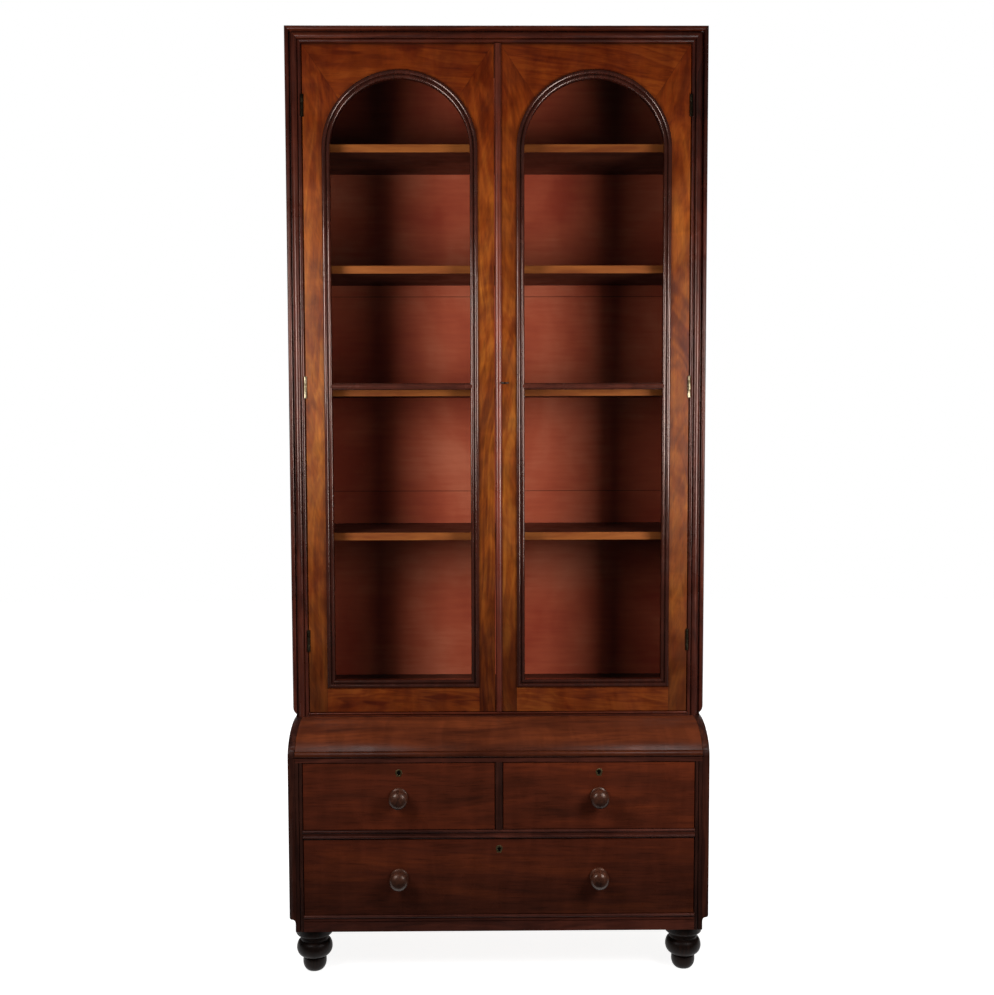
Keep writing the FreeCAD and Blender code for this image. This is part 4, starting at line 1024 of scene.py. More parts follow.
TURNED = WoodFinish(
    name="dark_turned_wood",
    pale=from_screen(40, 24, 18),
    middle=from_screen(27, 16, 12),
    dark=from_screen(16, 10, 8),
    grain=Grain.UPRIGHT,
    figure=18.0,
    rough=0.4,
    coat=0.0,
    specular=0.12,
)
KNOB_WOOD = WoodFinish(
    name="knob_wood",
    pale=from_screen(112, 66, 48),
    middle=from_screen(86, 50, 36),
    dark=from_screen(58, 34, 26),
    grain=Grain.DEEP,
    figure=30.0,
    rough=0.28,
    coat=0.0,
    specular=0.5,
    gleam=(1.0, 0.82, 0.72),
    pore_relief=0.1,
    painted_light_and_tone=KNOB_PAINTED_LIGHT,
)
RING_WOOD = WoodFinish(
    name="glazing_wood",
    pale=from_screen(98, 45, 32),
    middle=from_screen(80, 36, 26),
    dark=from_screen(62, 28, 20),
    grain=Grain.UPRIGHT,
    figure=12.0,
    rough=0.2,
    coat=0.6,
    coat_rough=0.11,
    specular=0.9,
    gleam=(1.0, 0.7, 0.58),
    ripple=0.02,
    pore_relief=0.04,
    painted_light_and_tone=RING_PAINTED_SHADE,
)
RING_ACROSS = replace(RING_WOOD, name="glazing_wood_across", grain=Grain.ACROSS)
SHELF = ShelfFinish(
    name="shelf_wood",
    pale=from_screen(104, 52, 36),
    middle=from_screen(84, 40, 29),
    dark=from_screen(62, 29, 22),
    rough=0.45,
    coat=0.0,
    specular=0.12,
)
SECONDARY = WoodFinish(
    name="plain_softwood",
    pale=from_screen(186, 150, 106),
    middle=from_screen(164, 126, 84),
    dark=from_screen(132, 96, 60),
    grain=Grain.DEEP,
    figure=10.0,
    rough=0.6,
    coat=0.0,
    specular=0.25,
)
SECONDARY_ACROSS = replace(SECONDARY, name="plain_softwood_across", grain=Grain.ACROSS)
BRASS = MetalFinish("old_brass", from_screen(186, 164, 122), from_screen(112, 94, 62))
HINGE_BRASS = MetalFinish(
    "hinge_brass", from_screen(196, 182, 150), from_screen(112, 98, 72), painted_light_and_tone=HINGE_PAINTED_LIGHT
)
# Near-black finish of the disc that stands in for the keyhole's shade.
KEYHOLE_PAINTED_SHADE = WoodFinish(
    name="keyhole_painted_shade",
    pale=from_screen(14, 10, 8),
    middle=from_screen(9, 7, 6),
    dark=from_screen(5, 4, 4),
    rough=0.7,
    coat=0.0,
    specular=0.05,
)
STEEL = MetalFinish("dark_steel", from_screen(96, 90, 84), from_screen(46, 40, 36), rough=0.38)


NODE_FINISHES: dict[Any, tuple[str, ...]] = {
    DOOR_VENEER: ("left_door_stiles", "left_door_rails", "right_door_stiles", "right_door_rails"),
    MOULDING_UPRIGHT: ("surround_left", "surround_right"),
    BEAD_WOOD_PAINTED_SHEEN: ("meeting_bead",),
    MOULDING_ACROSS: ("surround_top", "sill_moulding"),
    CASE_UPRIGHT: ("upper_side_left", "upper_side_right", "chest_side_left", "chest_side_right"),
    CASE_ACROSS: ("upper_top_board", "upper_floor_board", "chest_top_board"),
    CUSHION: ("frieze_drawer_front",),
    DRAWER: ("left_drawer_front", "right_drawer_front", "long_drawer_front"),
    RAIL: ("drawer_rails", "plinth_frame"),
    STILE: ("front_stiles", "drawer_divider"),
    RING_ACROSS: ("left_door_glazing_bar", "right_door_glazing_bar"),
    RING_WOOD: ("left_door_glazing_moulding", "right_door_glazing_moulding"),
    SHELF: ("shelf_1", "shelf_2", "shelf_3", "shelf_4", "shelf_bearers"),
    PaintedBack(): ("upper_back_boards",),
    TURNED: ("front_feet", "back_feet"),
    SECONDARY_ACROSS: ("chest_back_board",),
    SECONDARY: (
        "drawer_runners",
        "frieze_drawer_box",
        "left_drawer_box",
        "right_drawer_box",
        "long_drawer_box",
    ),
    HINGE_BRASS: ("frame_hinge_leaves", "left_door_hinge_leaves", "right_door_hinge_leaves"),
    BRASS: (
        "flush_bolt_plates",
        "upper_flush_bolt",
        "lower_flush_bolt",
        "left_drawer_lock",
        "right_drawer_lock",
        "long_drawer_lock",
    ),
    STEEL: ("door_lock_case", "door_lock_bolt", "door_key"),
    PaneGlass(): ("left_door_panes", "right_door_panes"),
}


def finish_frame(frame: dict[str, Any], shop: Workshop) -> None:
    """Gives every carried node its finish.

    Args:
        shop: Where the pieces are made.
    """
    for finish, names in NODE_FINISHES.items():
        for name in names:
            mesh = frame["nodes"][name].data
            mesh.materials.clear()
            mesh.materials.append(shop.material(finish))
        LOG.info("finish %s on %d nodes", finish.name, len(names))


def merged_copy(node: str) -> bmesh.types.BMesh:
    """Copy of a node's mesh with its loose triangles joined up.

    Args:
        node: Name of the node.

    Returns:
        The joined mesh, open for work.
    """
    work = bmesh.new()
    work.from_mesh(bpy.data.objects[node].data)
    bmesh.ops.remove_doubles(work, verts=work.verts, dist=MERGE_DISTANCE)
    return work


def keep_islands(work: bmesh.types.BMesh, wanted: Callable[[Vector, Vector], bool]) -> None:
    """Leaves only the separate bodies whose box is wanted.

    Args:
        work: Mesh to thin out.
        wanted: Test of the lowest and highest corner of a body.
    """
    unseen = set(work.verts)
    unwanted: list[bmesh.types.BMVert] = []
    while unseen:
        start = unseen.pop()
        island, stack = [start], [start]
        while stack:
            for edge in stack.pop().link_edges:
                for vertex in edge.verts:
                    if vertex in unseen:
                        unseen.remove(vertex)
                        island.append(vertex)
                        stack.append(vertex)
        low = Vector([min(v.co[i] for v in island) for i in range(3)])
        high = Vector([max(v.co[i] for v in island) for i in range(3)])
        if not wanted(low, high):
            unwanted.extend(island)
    bmesh.ops.delete(work, geom=unwanted, context="VERTS")


def ease_edges(work: bmesh.types.BMesh, width: float) -> None:
    """Takes the sharpness off a body's edges.

    Args:
        work: Mesh under work.
        width: Width of the eased edge.
    """
    bmesh.ops.dissolve_limit(work, angle_limit=FLAT_ANGLE, verts=work.verts, edges=work.edges)
    sharp = [edge for edge in work.edges if edge.is_manifold and edge.calc_face_angle() > SHARP_ANGLE]
    bmesh.ops.bevel(
        work, geom=sharp, offset=width, segments=2, profile=0.5, affect="EDGES", clamp_overlap=True
    )


def finished_object(
    name: str, work: bmesh.types.BMesh, material: bpy.types.Material, smooth: bool
) -> bpy.types.Object:
    """Closes a mesh under work and puts it in the scene.

    Args:
        name: Name of the piece.
        work: Mesh under work, which is freed.
        material: Finish of the piece.
        smooth: Whether its rounds are shaded smooth between sharp edges.

    Returns:
        The new object.
    """
    mesh = bpy.data.meshes.new(name)
    work.to_mesh(mesh)
    work.free()
    mesh.materials.append(material)
    if smooth:
        mesh.shade_smooth()
        mesh.set_sharp_from_angle(angle=SHARP_ANGLE)
    return linked(name, mesh)


def linked(name: str, mesh: bpy.types.Mesh) -> bpy.types.Object:
    """New object of a mesh, in the scene."""
    piece = bpy.data.objects.new(name, mesh)
    bpy.context.scene.collection.objects.link(piece)
    return piece


def evaluated_mesh(piece: bpy.types.Object) -> bpy.types.Mesh:
    """Mesh of an object with its modifiers applied."""
    graph = bpy.context.evaluated_depsgraph_get()
    return bpy.data.meshes.new_from_object(piece.evaluated_get(graph))


def flatten(piece: bpy.types.Object) -> None:
    """Keeps the shading of large flat faces flat beside small rounds.

    Args:
        piece: Smooth piece, which gets the new mesh.
    """
    modifier = piece.modifiers.new("flat_faces", "WEIGHTED_NORMAL")
    modifier.keep_sharp = True
    mesh = evaluated_mesh(piece)
    piece.modifiers.remove(modifier)
    former = piece.data
    piece.data = mesh
    bpy.data.meshes.remove(former)
    mesh.name = piece.name


def turned(profile: Sequence[Pair], steps: int, axis: Vector) -> bmesh.types.BMesh:
    """Turns a half outline round an axis through the origin.

    Args:
        profile: Radius and place along the axis of each point, from one pole to the other.
        steps: Number of flats round.
        axis: Direction of the axis.

    Returns:
        The turned body, closed.
    """
    side = axis.orthogonal().normalized()
    other = axis.cross(side)
    work = bmesh.new()
    rings: list[list[bmesh.types.BMVert]] = []
    for radius, along in profile:
        if radius < MERGE_DISTANCE:
            rings.append([work.verts.new(axis * along)])
            continue
        ring = []
        for step in range(steps):
            turn = 2 * math.pi * step / steps
            outward = side * math.cos(turn) + other * math.sin(turn)
            ring.append(work.verts.new(axis * along + outward * radius))
        rings.append(ring)
    for lower, upper in zip(rings, rings[1:]):
        for step in range(steps):
            here = [(lower, step), (lower, step + 1), (upper, step + 1), (upper, step)]
            corners = [ring[place % steps % len(ring)] for ring, place in here]
            work.faces.new(list(dict.fromkeys(corners)))
    bmesh.ops.recalc_face_normals(work, faces=work.faces)
    return work


def eased(corners: Sequence[Corner], steps: int = 5) -> list[Pair]:
    """Rounds the corners of an outline.

    Args:
        corners: The corners, each with its rounding.
        steps: Points on each rounded corner.

    Returns:
        The outline's points, in radius and place along the axis.
    """
    longest = 0.49
    points: list[Pair] = []
    for index, (radius, along, ease) in enumerate(corners):
        here = Vector((radius, along))
        if ease <= 0 or index in (0, len(corners) - 1):
            points.append((radius, along))
            continue
        before = Vector(corners[index - 1][:2]) - here
        after = Vector(corners[index + 1][:2]) - here
        start = here + before.normalized() * min(ease, before.length * longest)
        end = here + after.normalized() * min(ease, after.length * longest)
        for step in range(steps + 1):
            t = step / steps
            point = start * (1 - t) ** 2 + here * (2 * t * (1 - t)) + end * t * t
            points.append((point.x, point.y))
    return points


@dataclass(frozen=True)
class Grid:
    """Places of like pieces in rows and columns."""

    first: Point
    column_step: Point
    row_step: Point = (0.0, 0.0, 0.0)
    columns: int = 1
    rows: int = 1


@dataclass(frozen=True)
class Role:
    """The body that a piece rides on, a material slot of the record, which is not used, and the nodes that
    it replaces.
    """

    body: str
    slot: str
    nodes: tuple[str, ...]

    def give(self, piece: bpy.types.Object) -> None:
        """Sets a piece on the role's body and hides the nodes that it replaces.

        Args:
            piece: The piece.
        """
        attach(piece, self.body)
        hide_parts(*self.nodes)
        LOG.info("piece %s on %s", piece.name, self.body)


class RowTree:
    """Geometry Nodes tree that sets copies of one body in rows and columns."""

    INPUTS = (
        ("First Place", "NodeSocketVector"),
        ("Column Step", "NodeSocketVector"),
        ("Row Step", "NodeSocketVector"),
        ("Columns", "NodeSocketInt"),
        ("Rows", "NodeSocketInt"),
        ("Finish", "NodeSocketMaterial"),
    )

    def __init__(self) -> None:
        """Builds the tree."""
        self.tree = bpy.data.node_groups.new("rows_of_turned_pieces", "GeometryNodeTree")
        face = self.tree.interface
        face.new_socket("Geometry", in_out="INPUT", socket_type="NodeSocketGeometry")
        for name, kind in self.INPUTS:
            face.new_socket(name, in_out="INPUT", socket_type=kind)
        face.new_socket("Geometry", in_out="OUTPUT", socket_type="NodeSocketGeometry")
        bench = NodeBench(self.tree)
        start = bench.add("NodeGroupInput").outputs
        rows = bench.add("GeometryNodeMeshLine", {
            "Count": start["Rows"],
            "Start Location": start["First Place"],
            "Offset": start["Row Step"],
        }, mode="OFFSET")
        columns = bench.add("GeometryNodeMeshLine", {
            "Count": start["Columns"],
            "Offset": start["Column Step"],
        }, mode="OFFSET")
        places = self.instances(bench, rows.outputs[0], columns.outputs[0])
        copies = self.instances(bench, places, start["Geometry"])
        finish = bench.add("GeometryNodeSetMaterial", {"Geometry": copies, "Material": start["Finish"]})
        bench.add("NodeGroupOutput", {0: finish.outputs[0]})

    @staticmethod
    def instances(bench: NodeBench, points: Any, instance: Any) -> Any:
        """Sets copies on points and makes them real.

        Args:
            bench: Bench of the tree.
            points: Socket of the points.
            instance: Socket of the body to copy.

        Returns:
            The real geometry's socket.
        """
        copies = bench.add("GeometryNodeInstanceOnPoints", {"Points": points, "Instance": instance})
        return bench.add("GeometryNodeRealizeInstances", {0: copies.outputs[0]}).outputs[0]

    def set_out(self, name: str, body: bpy.types.Object, grid: Grid) -> bpy.types.Object:
        """Sets copies of a body out and makes them one plain mesh.

        Args:
            name: Name of the piece.
            body: The body to copy, which is removed.
            grid: Places of the copies.

        Returns:
            The piece.
        """
        values = {
            "First Place": grid.first,
            "Column Step": grid.column_step,
            "Row Step": grid.row_step,
            "Columns": grid.columns,
            "Rows": grid.rows,
            "Finish": body.data.materials[0],
        }
        modifier = body.modifiers.new("rows", "NODES")
        modifier.node_group = self.tree
        for item in self.tree.interface.items_tree:
            if item.in_out == "INPUT" and item.name in values:
                modifier[item.identifier] = values[item.name]
        mesh = evaluated_mesh(body)
        mesh.name = name
        bpy.data.objects.remove(body)
        return linked(name, mesh)


@dataclass
class Workshop:
    """Where the pieces are made: it keeps every finish, each made once, and puts the pieces in the scene."""

    rows: RowTree
    made: dict[str, bpy.types.Material] = field(default_factory=dict)

    def material(self, finish: Any) -> bpy.types.Material:
        """Gives the material of a finish, and makes it at the first call.

        Args:
            finish: A finish with a name and a material method.

        Returns:
            The material.
        """
        if finish.name not in self.made:
            self.made[finish.name] = finish.material()
        return self.made[finish.name]

    def put(
        self,
        name: str,
        work: bmesh.types.BMesh,
        finish: Any,
        role: Role,
        smooth: bool = True,
        flat: bool = False,
    ) -> None:
        """Puts a piece in the scene.

        Args:
            name: Name of the piece.
            work: Mesh under work, which is freed.
            finish: Finish of the piece.
            role: Its body, slot and nodes.
            smooth: Whether its rounds are shaded smooth between sharp edges.
            flat: Whether its large faces keep a flat shading beside small rounds.
        """
        piece = finished_object(name, work, self.material(finish), smooth)
        if flat:
            flatten(piece)
        role.give(piece)

    def put_rows(self, name: str, work: bmesh.types.BMesh, finish: Any, role: Role, grid: Grid) -> None:
        """Puts a piece of like bodies in rows and columns in the scene.

        Args:
            name: Name of the piece.
            work: Mesh of one body, which is freed.
            finish: Finish of the piece.
            role: Its body, slot and nodes.
            grid: Places of the bodies.
        """
        body = finished_object(f"{name}_body", work, self.material(finish), True)
        role.give(self.rows.set_out(name, body, grid))


@dataclass
class SmoothedPieces:
    """Pieces that keep their shape of the frame, with smooth rounds and, on the shelves, eased edges."""

    frame: dict[str, Any]
    ease: float = 0.0007
    rounded: tuple[str, ...] = (
        "surround_left",
        "surround_right",
        "surround_top",
        "sill_moulding",
        "drawer_rails",
        "front_stiles",
        "drawer_divider",
        "plinth_frame",
        "chest_side_left",
        "chest_side_right",
        "left_door_glazing_bar",
        "right_door_glazing_bar",
        "frame_hinge_leaves",
        "left_door_hinge_leaves",
        "right_door_hinge_leaves",
        "upper_flush_bolt",
        "lower_flush_bolt",
        "door_key",
    )
    eased: tuple[str, ...] = ("shelf_1", "shelf_2", "shelf_3", "shelf_4")

    def build(self, shop: Workshop) -> None:
        """Makes the copies, each on the body of its node.

        Args:
            shop: Where the pieces are made.
        """
        slots = {part["node"]: part["material_slot"] for part in self.frame["record"]["subparts"]}
        wood = {name: finish for finish, names in NODE_FINISHES.items() for name in names}
        for node in self.rounded + self.eased:
            work = merged_copy(node)
            if node in self.eased:
                ease_edges(work, self.ease)
            role = Role(self.frame["nodes"][node]["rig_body"], slots[node], (node,))
            shop.put(f"{node}_smooth", work, wood[node], role, flat=True)


@dataclass
class TurnedFeet:
    """The four turned feet under the plinth."""

    half_width: float = 0.471
    front_row: float = -0.168
    back_row: float = 0.213
    shoulder: tuple[Corner, ...] = (
        (0.0, 0.120, 0.0),
        (0.047, 0.120, 0.0005),
        (0.047, 0.0985, 0.004),
        (0.0375, 0.0915, 0.004),
        (0.0335, 0.084, 0.002),
        (0.0345, 0.0795, 0.002),
    )
    bulb: tuple[Pair, Pair, Pair] = ((0.0345, 0.0805), (0.0452, 0.0605), (0.0265, 0.0385))
    bulb_share: float = 0.52
    ball: tuple[Pair, Pair, Pair] = ((0.0265, 0.0375), (0.0298, 0.0245), (0.0130, 0.0))
    ball_share: float = 0.5
    bulge_steps: int = 9
    flats: int = 64

    def bulge(self, top: Pair, widest: Pair, foot: Pair, share: float) -> list[Pair]:
        """Elliptic bulge between two waists.

        Args:
            top: Upper end in radius and height.
            widest: Widest place.
            foot: Lower end.
            share: How round the bulge is, 0.5 for an ellipse.

        Returns:
            Points along the bulge.
        """
        points = []
        for start, end, rising in ((top, widest, True), (foot, widest, False)):
            span = []
            for step in range(self.bulge_steps + 1):
                t = step / self.bulge_steps
                along = start[1] + (end[1] - start[1]) * t
                radius = start[0] + (end[0] - start[0]) * (1 - (1 - t) ** 2) ** share
                span.append((radius, along))
            points += span if rising else span[::-1][1:]
        return points

    def build(self, shop: Workshop) -> None:
        """Makes the feet and puts them under the carcass.

        Args:
            shop: Where the pieces are made.
        """
        outline = eased(self.shoulder)[:-1]
        outline += self.bulge(*self.bulb, self.bulb_share) + self.bulge(*self.ball, self.ball_share)
        outline.append((0.0, 0.0))
        grid = Grid(
            first=(-self.half_width, self.front_row, 0.0),
            column_step=(2 * self.half_width, 0.0, 0.0),
            row_step=(0.0, self.back_row - self.front_row, 0.0),
            columns=2,
            rows=2,
        )
        foot = turned(outline, self.flats, Vector((0, 0, 1)))
        role = Role("carcass", "dark_turned", ("front_feet", "back_feet"))
        shop.put_rows("turned_feet", foot, TURNED, role, grid)


@dataclass
class DrawerFront:
    """A drawer front board with its turned knobs."""

    drawer: str
    knob_places: tuple[float, ...]
    knob_level: float
    knob_length: float = 0.048
    knob_corners: tuple[Corner, ...] = (
        (0.0238, 0.0165, 0.0),
        (0.0238, 0.0205, 0.004),
        (0.0195, 0.0265, 0.004),
        (0.0135, 0.0315, 0.004),
        (0.0130, 0.0375, 0.003),
        (0.0190, 0.0395, 0.002),
        (0.0225, 0.0415, 0.0015),
        (0.0225, 0.0472, 0.0008),
        (0.0217, 0.048, 0.0),
        (0.0, 0.048, 0.0),
    )
    corner_steps: int = 4
    dome_steps: int = 12
    reach: float = 0.0242
    ease: float = 0.0009
    flats: int = 56

    def knob_outline(self) -> list[Pair]:
        """Half outline of a knob from its tip to its foot, in radius and distance behind the tip.

        Returns:
            The outline's points: a dome, then the corners.
        """
        radius, depth, _ = self.knob_corners[0]
        turns = [math.pi / 2 * step / self.dome_steps for step in range(self.dome_steps)]
        dome = [(radius * math.sin(turn), depth * (1 - math.cos(turn))) for turn in turns]
        return dome + eased(self.knob_corners, self.corner_steps)

    def plain_board(self, node: str) -> bmesh.types.BMesh:
        """Copy of the front board without the frame's knobs, with their bores closed.

        Args:
            node: Name of the front's node.

        Returns:
            The board's mesh.
        """
        work = merged_copy(node)
        level, reach = self.knob_level, self.reach
        for place in self.knob_places:
            near = [
                face for face in work.faces
                if all(math.hypot(v.co.x - place, v.co.z - level) < reach for v in face.verts)
            ]
            bmesh.ops.delete(work, geom=near, context="FACES")
        rims = [edge for edge in work.edges if edge.is_boundary]
        bmesh.ops.holes_fill(work, edges=rims, sides=0)
        bmesh.ops.recalc_face_normals(work, faces=work.faces)
        ease_edges(work, self.ease)
        return work

    def build(self, shop: Workshop) -> None:
        """Makes the board and its knobs, which together replace the drawer's front node.

        Args:
            shop: Where the pieces are made.
        """
        node = f"{self.drawer}_front"
        role = Role(self.drawer, "mahogany_drawer", (node,))
        shop.put(f"{self.drawer}_board", self.plain_board(node), DRAWER, role, flat=True)
        grid = Grid(
            first=(self.knob_places[0], DRAWER_FACE - self.knob_length, self.knob_level),
            column_step=(self.knob_places[-1] - self.knob_places[0], 0.0, 0.0),
            columns=len(self.knob_places),
        )
        knob = turned(self.knob_outline(), self.flats, Vector((0, 1, 0)))
        shop.put_rows(f"{self.drawer}_knobs", knob, KNOB_WOOD, role, grid)


def swept(sections: Sequence[Sequence[Point]], closed: bool) -> bmesh.types.BMesh:
    """Skins a row of like sections, each a loop of points.

    Args:
        sections: The sections in order.
        closed: Whether the last joins the first; otherwise both ends are capped.

    Returns:
        The closed body.
    """
    work = bmesh.new()
    loops = [[work.verts.new(point) for point in section] for section in sections]
    pairs = zip(loops, loops[1:] + loops[:1]) if closed else zip(loops, loops[1:])
    for here, after in pairs:
        for index in range(len(here)):
            following = (index + 1) % len(here)
            work.faces.new((here[index], here[following], after[following], after[index]))
    if not closed:
        work.faces.new(loops[0])
        work.faces.new(loops[-1])
    bmesh.ops.recalc_face_normals(work, faces=work.faces)
    return work


def half_round(start: float, end: float, base: float, rise: float, steps: int = 10) -> list[Pair]:
    """Half-round bead over a flat.

    Args:
        start: Where it starts across.
        end: Where it ends.
        base: Height of its ends.
        rise: Height of its crown.
        steps: Flats across it.

    Returns:
        Points across the bead.
    """
    middle, half = (start + end) / 2, (end - start) / 2
    turns = [math.pi * step / steps for step in range(steps + 1)]
    return [(middle - half * math.cos(turn), base + (rise - base) * math.sin(turn)) for turn in turns]


@dataclass
class MeetingBead:
    """Half-round bead on the right door that covers the joint of the doors, with a fillet on each side."""

    left: float = -0.006
    right: float = 0.0115
    rise: float = 0.007
    edge_rise: float = 0.0015
    fillet: float = 0.0012
    ease: float = 0.0008
    end_share: float = 0.8
    steps: int = 14

    def build(self, shop: Workshop) -> None:
        """Makes the bead, which replaces its node.

        Args:
            shop: Where the pieces are made.
        """
        left, right, edge = self.left, self.right, self.edge_rise
        outline = [(left, 0.0), (left, edge)]
        outline += half_round(left + self.fillet, right - self.fillet, edge, self.rise, self.steps)
        outline += [(right, edge), (right, 0.0)]
        levels = (
            (DOOR_FOOT, self.end_share),
            (DOOR_FOOT + self.ease, 1.0),
            (DOOR_HEAD - self.ease, 1.0),
            (DOOR_HEAD, self.end_share),
        )
        sections = [[(x, DOOR_FACE - height * share, z) for x, height in outline] for z, share in levels]
        role = Role("right_door", "mahogany_moulding", ("meeting_bead",))
        shop.put("meeting_bead_round", swept(sections, False), BEAD_WOOD_PAINTED_SHEEN, role)


@dataclass
class CushionFront:
    """Cushion-shaped front of the frieze drawer over its bead, with a fine quirk between them."""

    half_length: float = 0.5072
    front: float = -0.225
    back: float = -0.093
    shell: float = 0.024
    shell_top: float = 0.614
    bead_radius: float = 0.008
    bead_middle: float = -0.221
    quirk: float = 0.0016
    quirk_top: float = 0.0004
    quirk_foot: float = 0.0006
    corner: float = 0.0012
    corner_reach: float = 0.05
    steps: int = 36
    bead_steps: int = 16

    def outline(self) -> list[Pair]:
        """Section in y and z, all round.

        Returns:
            The section's points: the cushion, the quirk, the bead, then the hollow behind.
        """
        depth, height = self.back - self.front, CUSHION_TOP - CUSHION_FOOT
        bead_top = CUSHION_FOOT + 2 * self.bead_radius
        points = []
        start = math.asin((bead_top + self.quirk_top - CUSHION_FOOT) / height)
        for step in range(self.steps + 1):
            turn = math.pi / 2 + (start - math.pi / 2) * step / self.steps
            points.append((self.back - depth * math.cos(turn), CUSHION_FOOT + height * math.sin(turn)))
        points.append((points[-1][0] + self.quirk, bead_top - self.quirk_foot))
        for step in range(2, self.bead_steps + 1):
            turn = math.pi * step / self.bead_steps
            bead_y = self.bead_middle - self.bead_radius * math.sin(turn)
            points.append((bead_y, CUSHION_FOOT + self.bead_radius * (1 + math.cos(turn))))
        depth, height = depth - self.shell, self.shell_top - CUSHION_FOOT
        for step in range(self.steps // 2 + 1):
            turn = math.pi / 2 * step / (self.steps // 2)
            points.append((self.back - depth * math.cos(turn), CUSHION_FOOT + height * math.sin(turn)))
        return points

    def build(self, shop: Workshop) -> None:
        """Makes the front, which replaces the frieze drawer's front node.

        Args:
            shop: Where the pieces are made.
        """
        outline = self.outline()
        middle_y = sum(y for y, _ in outline) / len(outline)
        middle_z = sum(z for _, z in outline) / len(outline)
        share = self.corner / self.corner_reach
        drawn_in = [(y + (middle_y - y) * share, z + (middle_z - z) * share) for y, z in outline]
        end = self.half_length
        stations = (
            (-end, drawn_in),
            (-end + self.corner, outline),
            (end - self.corner, outline),
            (end, drawn_in),
        )
        sections = [[(x, y, z) for y, z in section] for x, section in stations]
        role = Role("frieze_drawer", "mahogany_drawer", ("frieze_drawer_front",))
        shop.put("frieze_cushion", swept(sections, False), CUSHION, role)


@dataclass
class ThreadEscutcheon:
    """Keyhole of a drawer: a thin brass thread let into the wood round a near-black disc of painted shade
    where the hole is, and the lock behind.
    """

    drawer: str
    x: float
    z: float
    proud: float = 0.0006
    sunk: float = 0.0014
    shade_disc_proud: float = 0.0001
    eye: float = 0.0066
    skirt_half: float = 0.0046
    skirt_foot: float = -0.0085
    skirt_reach: float = 0.8
    thread: float = 0.0040
    lock_plane: float = -0.2125
    steps: int = 28
    thread_steps: int = 8

    def path(self) -> list[tuple[float, float, float, float]]:
        """Middle line of the thread, with the outward direction at each place.

        Returns:
            For each place x, z and the outward direction in x and z.
        """
        low = math.acos(self.skirt_half / self.eye)
        places = []
        for step in range(self.steps + 1):
            turn = -low + (math.pi + 2 * low) * step / self.steps
            across, up = math.cos(turn), math.sin(turn)
            places.append((self.eye * across, self.eye * up, across, up))
        for side in (-1, 1):
            reach = self.skirt_reach
            places.append((side * self.skirt_half, self.skirt_foot, side * reach, -reach))
        return [(self.x + x, self.z + z, dx, dz) for x, z, dx, dz in places]

    def build(self, shop: Workshop) -> None:
        """Makes the thread, the disc of painted shade inside it and the lock case, which replace the
        drawer's lock node.

        Args:
            shop: Where the pieces are made.
        """
        node = f"{self.drawer}_lock"
        role = Role(self.drawer, "brass", (node,))
        half = self.thread / 2
        section = half_round(-half, half, 0.0, self.proud, self.thread_steps)
        section += [(half, -self.sunk), (-half, -self.sunk)]
        sections = [
            [(x + dx * out, DRAWER_FACE - height, z + dz * out) for out, height in section]
            for x, z, dx, dz in self.path()
        ]
        shop.put(f"{self.drawer}_escutcheon", swept(sections, True), BRASS, role)
        # A near-black disc at the drawer's face inside the thread: painted shade of the keyhole.
        planes = (DRAWER_FACE - self.shade_disc_proud, DRAWER_FACE + self.sunk)
        hole = [[(x, y, z) for x, z, _, _ in self.path()] for y in planes]
        shop.put(f"{self.drawer}_keyhole", swept(hole, False), KEYHOLE_PAINTED_SHADE, role, smooth=False)
        case = merged_copy(node)
        keep_islands(case, lambda low, high: high.y > self.lock_plane)
        shop.put(f"{self.drawer}_lock_case", case, BRASS, role)


@dataclass
class GlazingMoulding:
    """Raised moulding round the glass of one door: two beads over a lip, in one closed loop."""

    door: str
    side: int
    half_width: float = 0.176
    spring: float = 2.080
    lip: float = 0.006
    rebate: float = 0.0070
    sight_edge: tuple[Pair, ...] = ((0.0, 0.0006), (0.0004, 0.0011))
    inner_bead: tuple[float, float, float, float] = (0.0004, 0.0085, 0.0012, 0.0046)
    quirk: tuple[Pair, ...] = ((0.0088, 0.0004), (0.0098, 0.0004))
    outer_bead: tuple[float, float, float, float] = (0.0100, 0.0210, 0.0008, 0.0070)
    fillet_plane: float = -0.0775
    arch_steps: int = 72

    def outline(self) -> list[Pair]:
        """Moulding outline: distance outwards from the sight edge, and height over the door's face.

        Returns:
            The outline's points.
        """
        points = [(0.0, -self.lip), *self.sight_edge, *half_round(*self.inner_bead)]
        points += [*self.quirk, *half_round(*self.outer_bead), (self.outer_bead[1], 0.0)]
        return points + [(self.rebate, 0.0), (self.rebate, -self.lip)]

    def stations(self) -> list[tuple[float, float, float, float]]:
        """Places along the sight line with the direction that the moulding grows in.

        Returns:
            For each station x, z and the outward direction in x and z.
        """
        half = self.half_width
        path = [(-half, SIGHT_FOOT, -1.0, -1.0), (half, SIGHT_FOOT, 1.0, -1.0)]
        for step in range(self.arch_steps + 1):
            turn = math.pi * step / self.arch_steps
            across, up = math.cos(turn), math.sin(turn)
            path.append((half * across, self.spring + half * up, across, up))
        return [(self.side * DOOR_MIDDLE + x, z, dx, dz) for x, z, dx, dz in path]

    def build(self, shop: Workshop) -> None:
        """Makes the moulding and the fillets behind the glass.

        Args:
            shop: Where the pieces are made.
        """
        node = f"{self.door}_glazing_moulding"
        role = Role(self.door, "mahogany_moulding", (node,))
        outline = self.outline()
        sections = [
            [(x + dx * out, DOOR_FACE - height, z + dz * out) for out, height in outline]
            for x, z, dx, dz in self.stations()
        ]
        shop.put(f"{self.door}_glazing_beads", swept(sections, True), RING_WOOD, role)
        fillets = merged_copy(node)
        keep_islands(fillets, lambda low, high: low.y > self.fillet_plane)
        shop.put(f"{self.door}_glass_fillets", fillets, RING_WOOD, role, smooth=False)


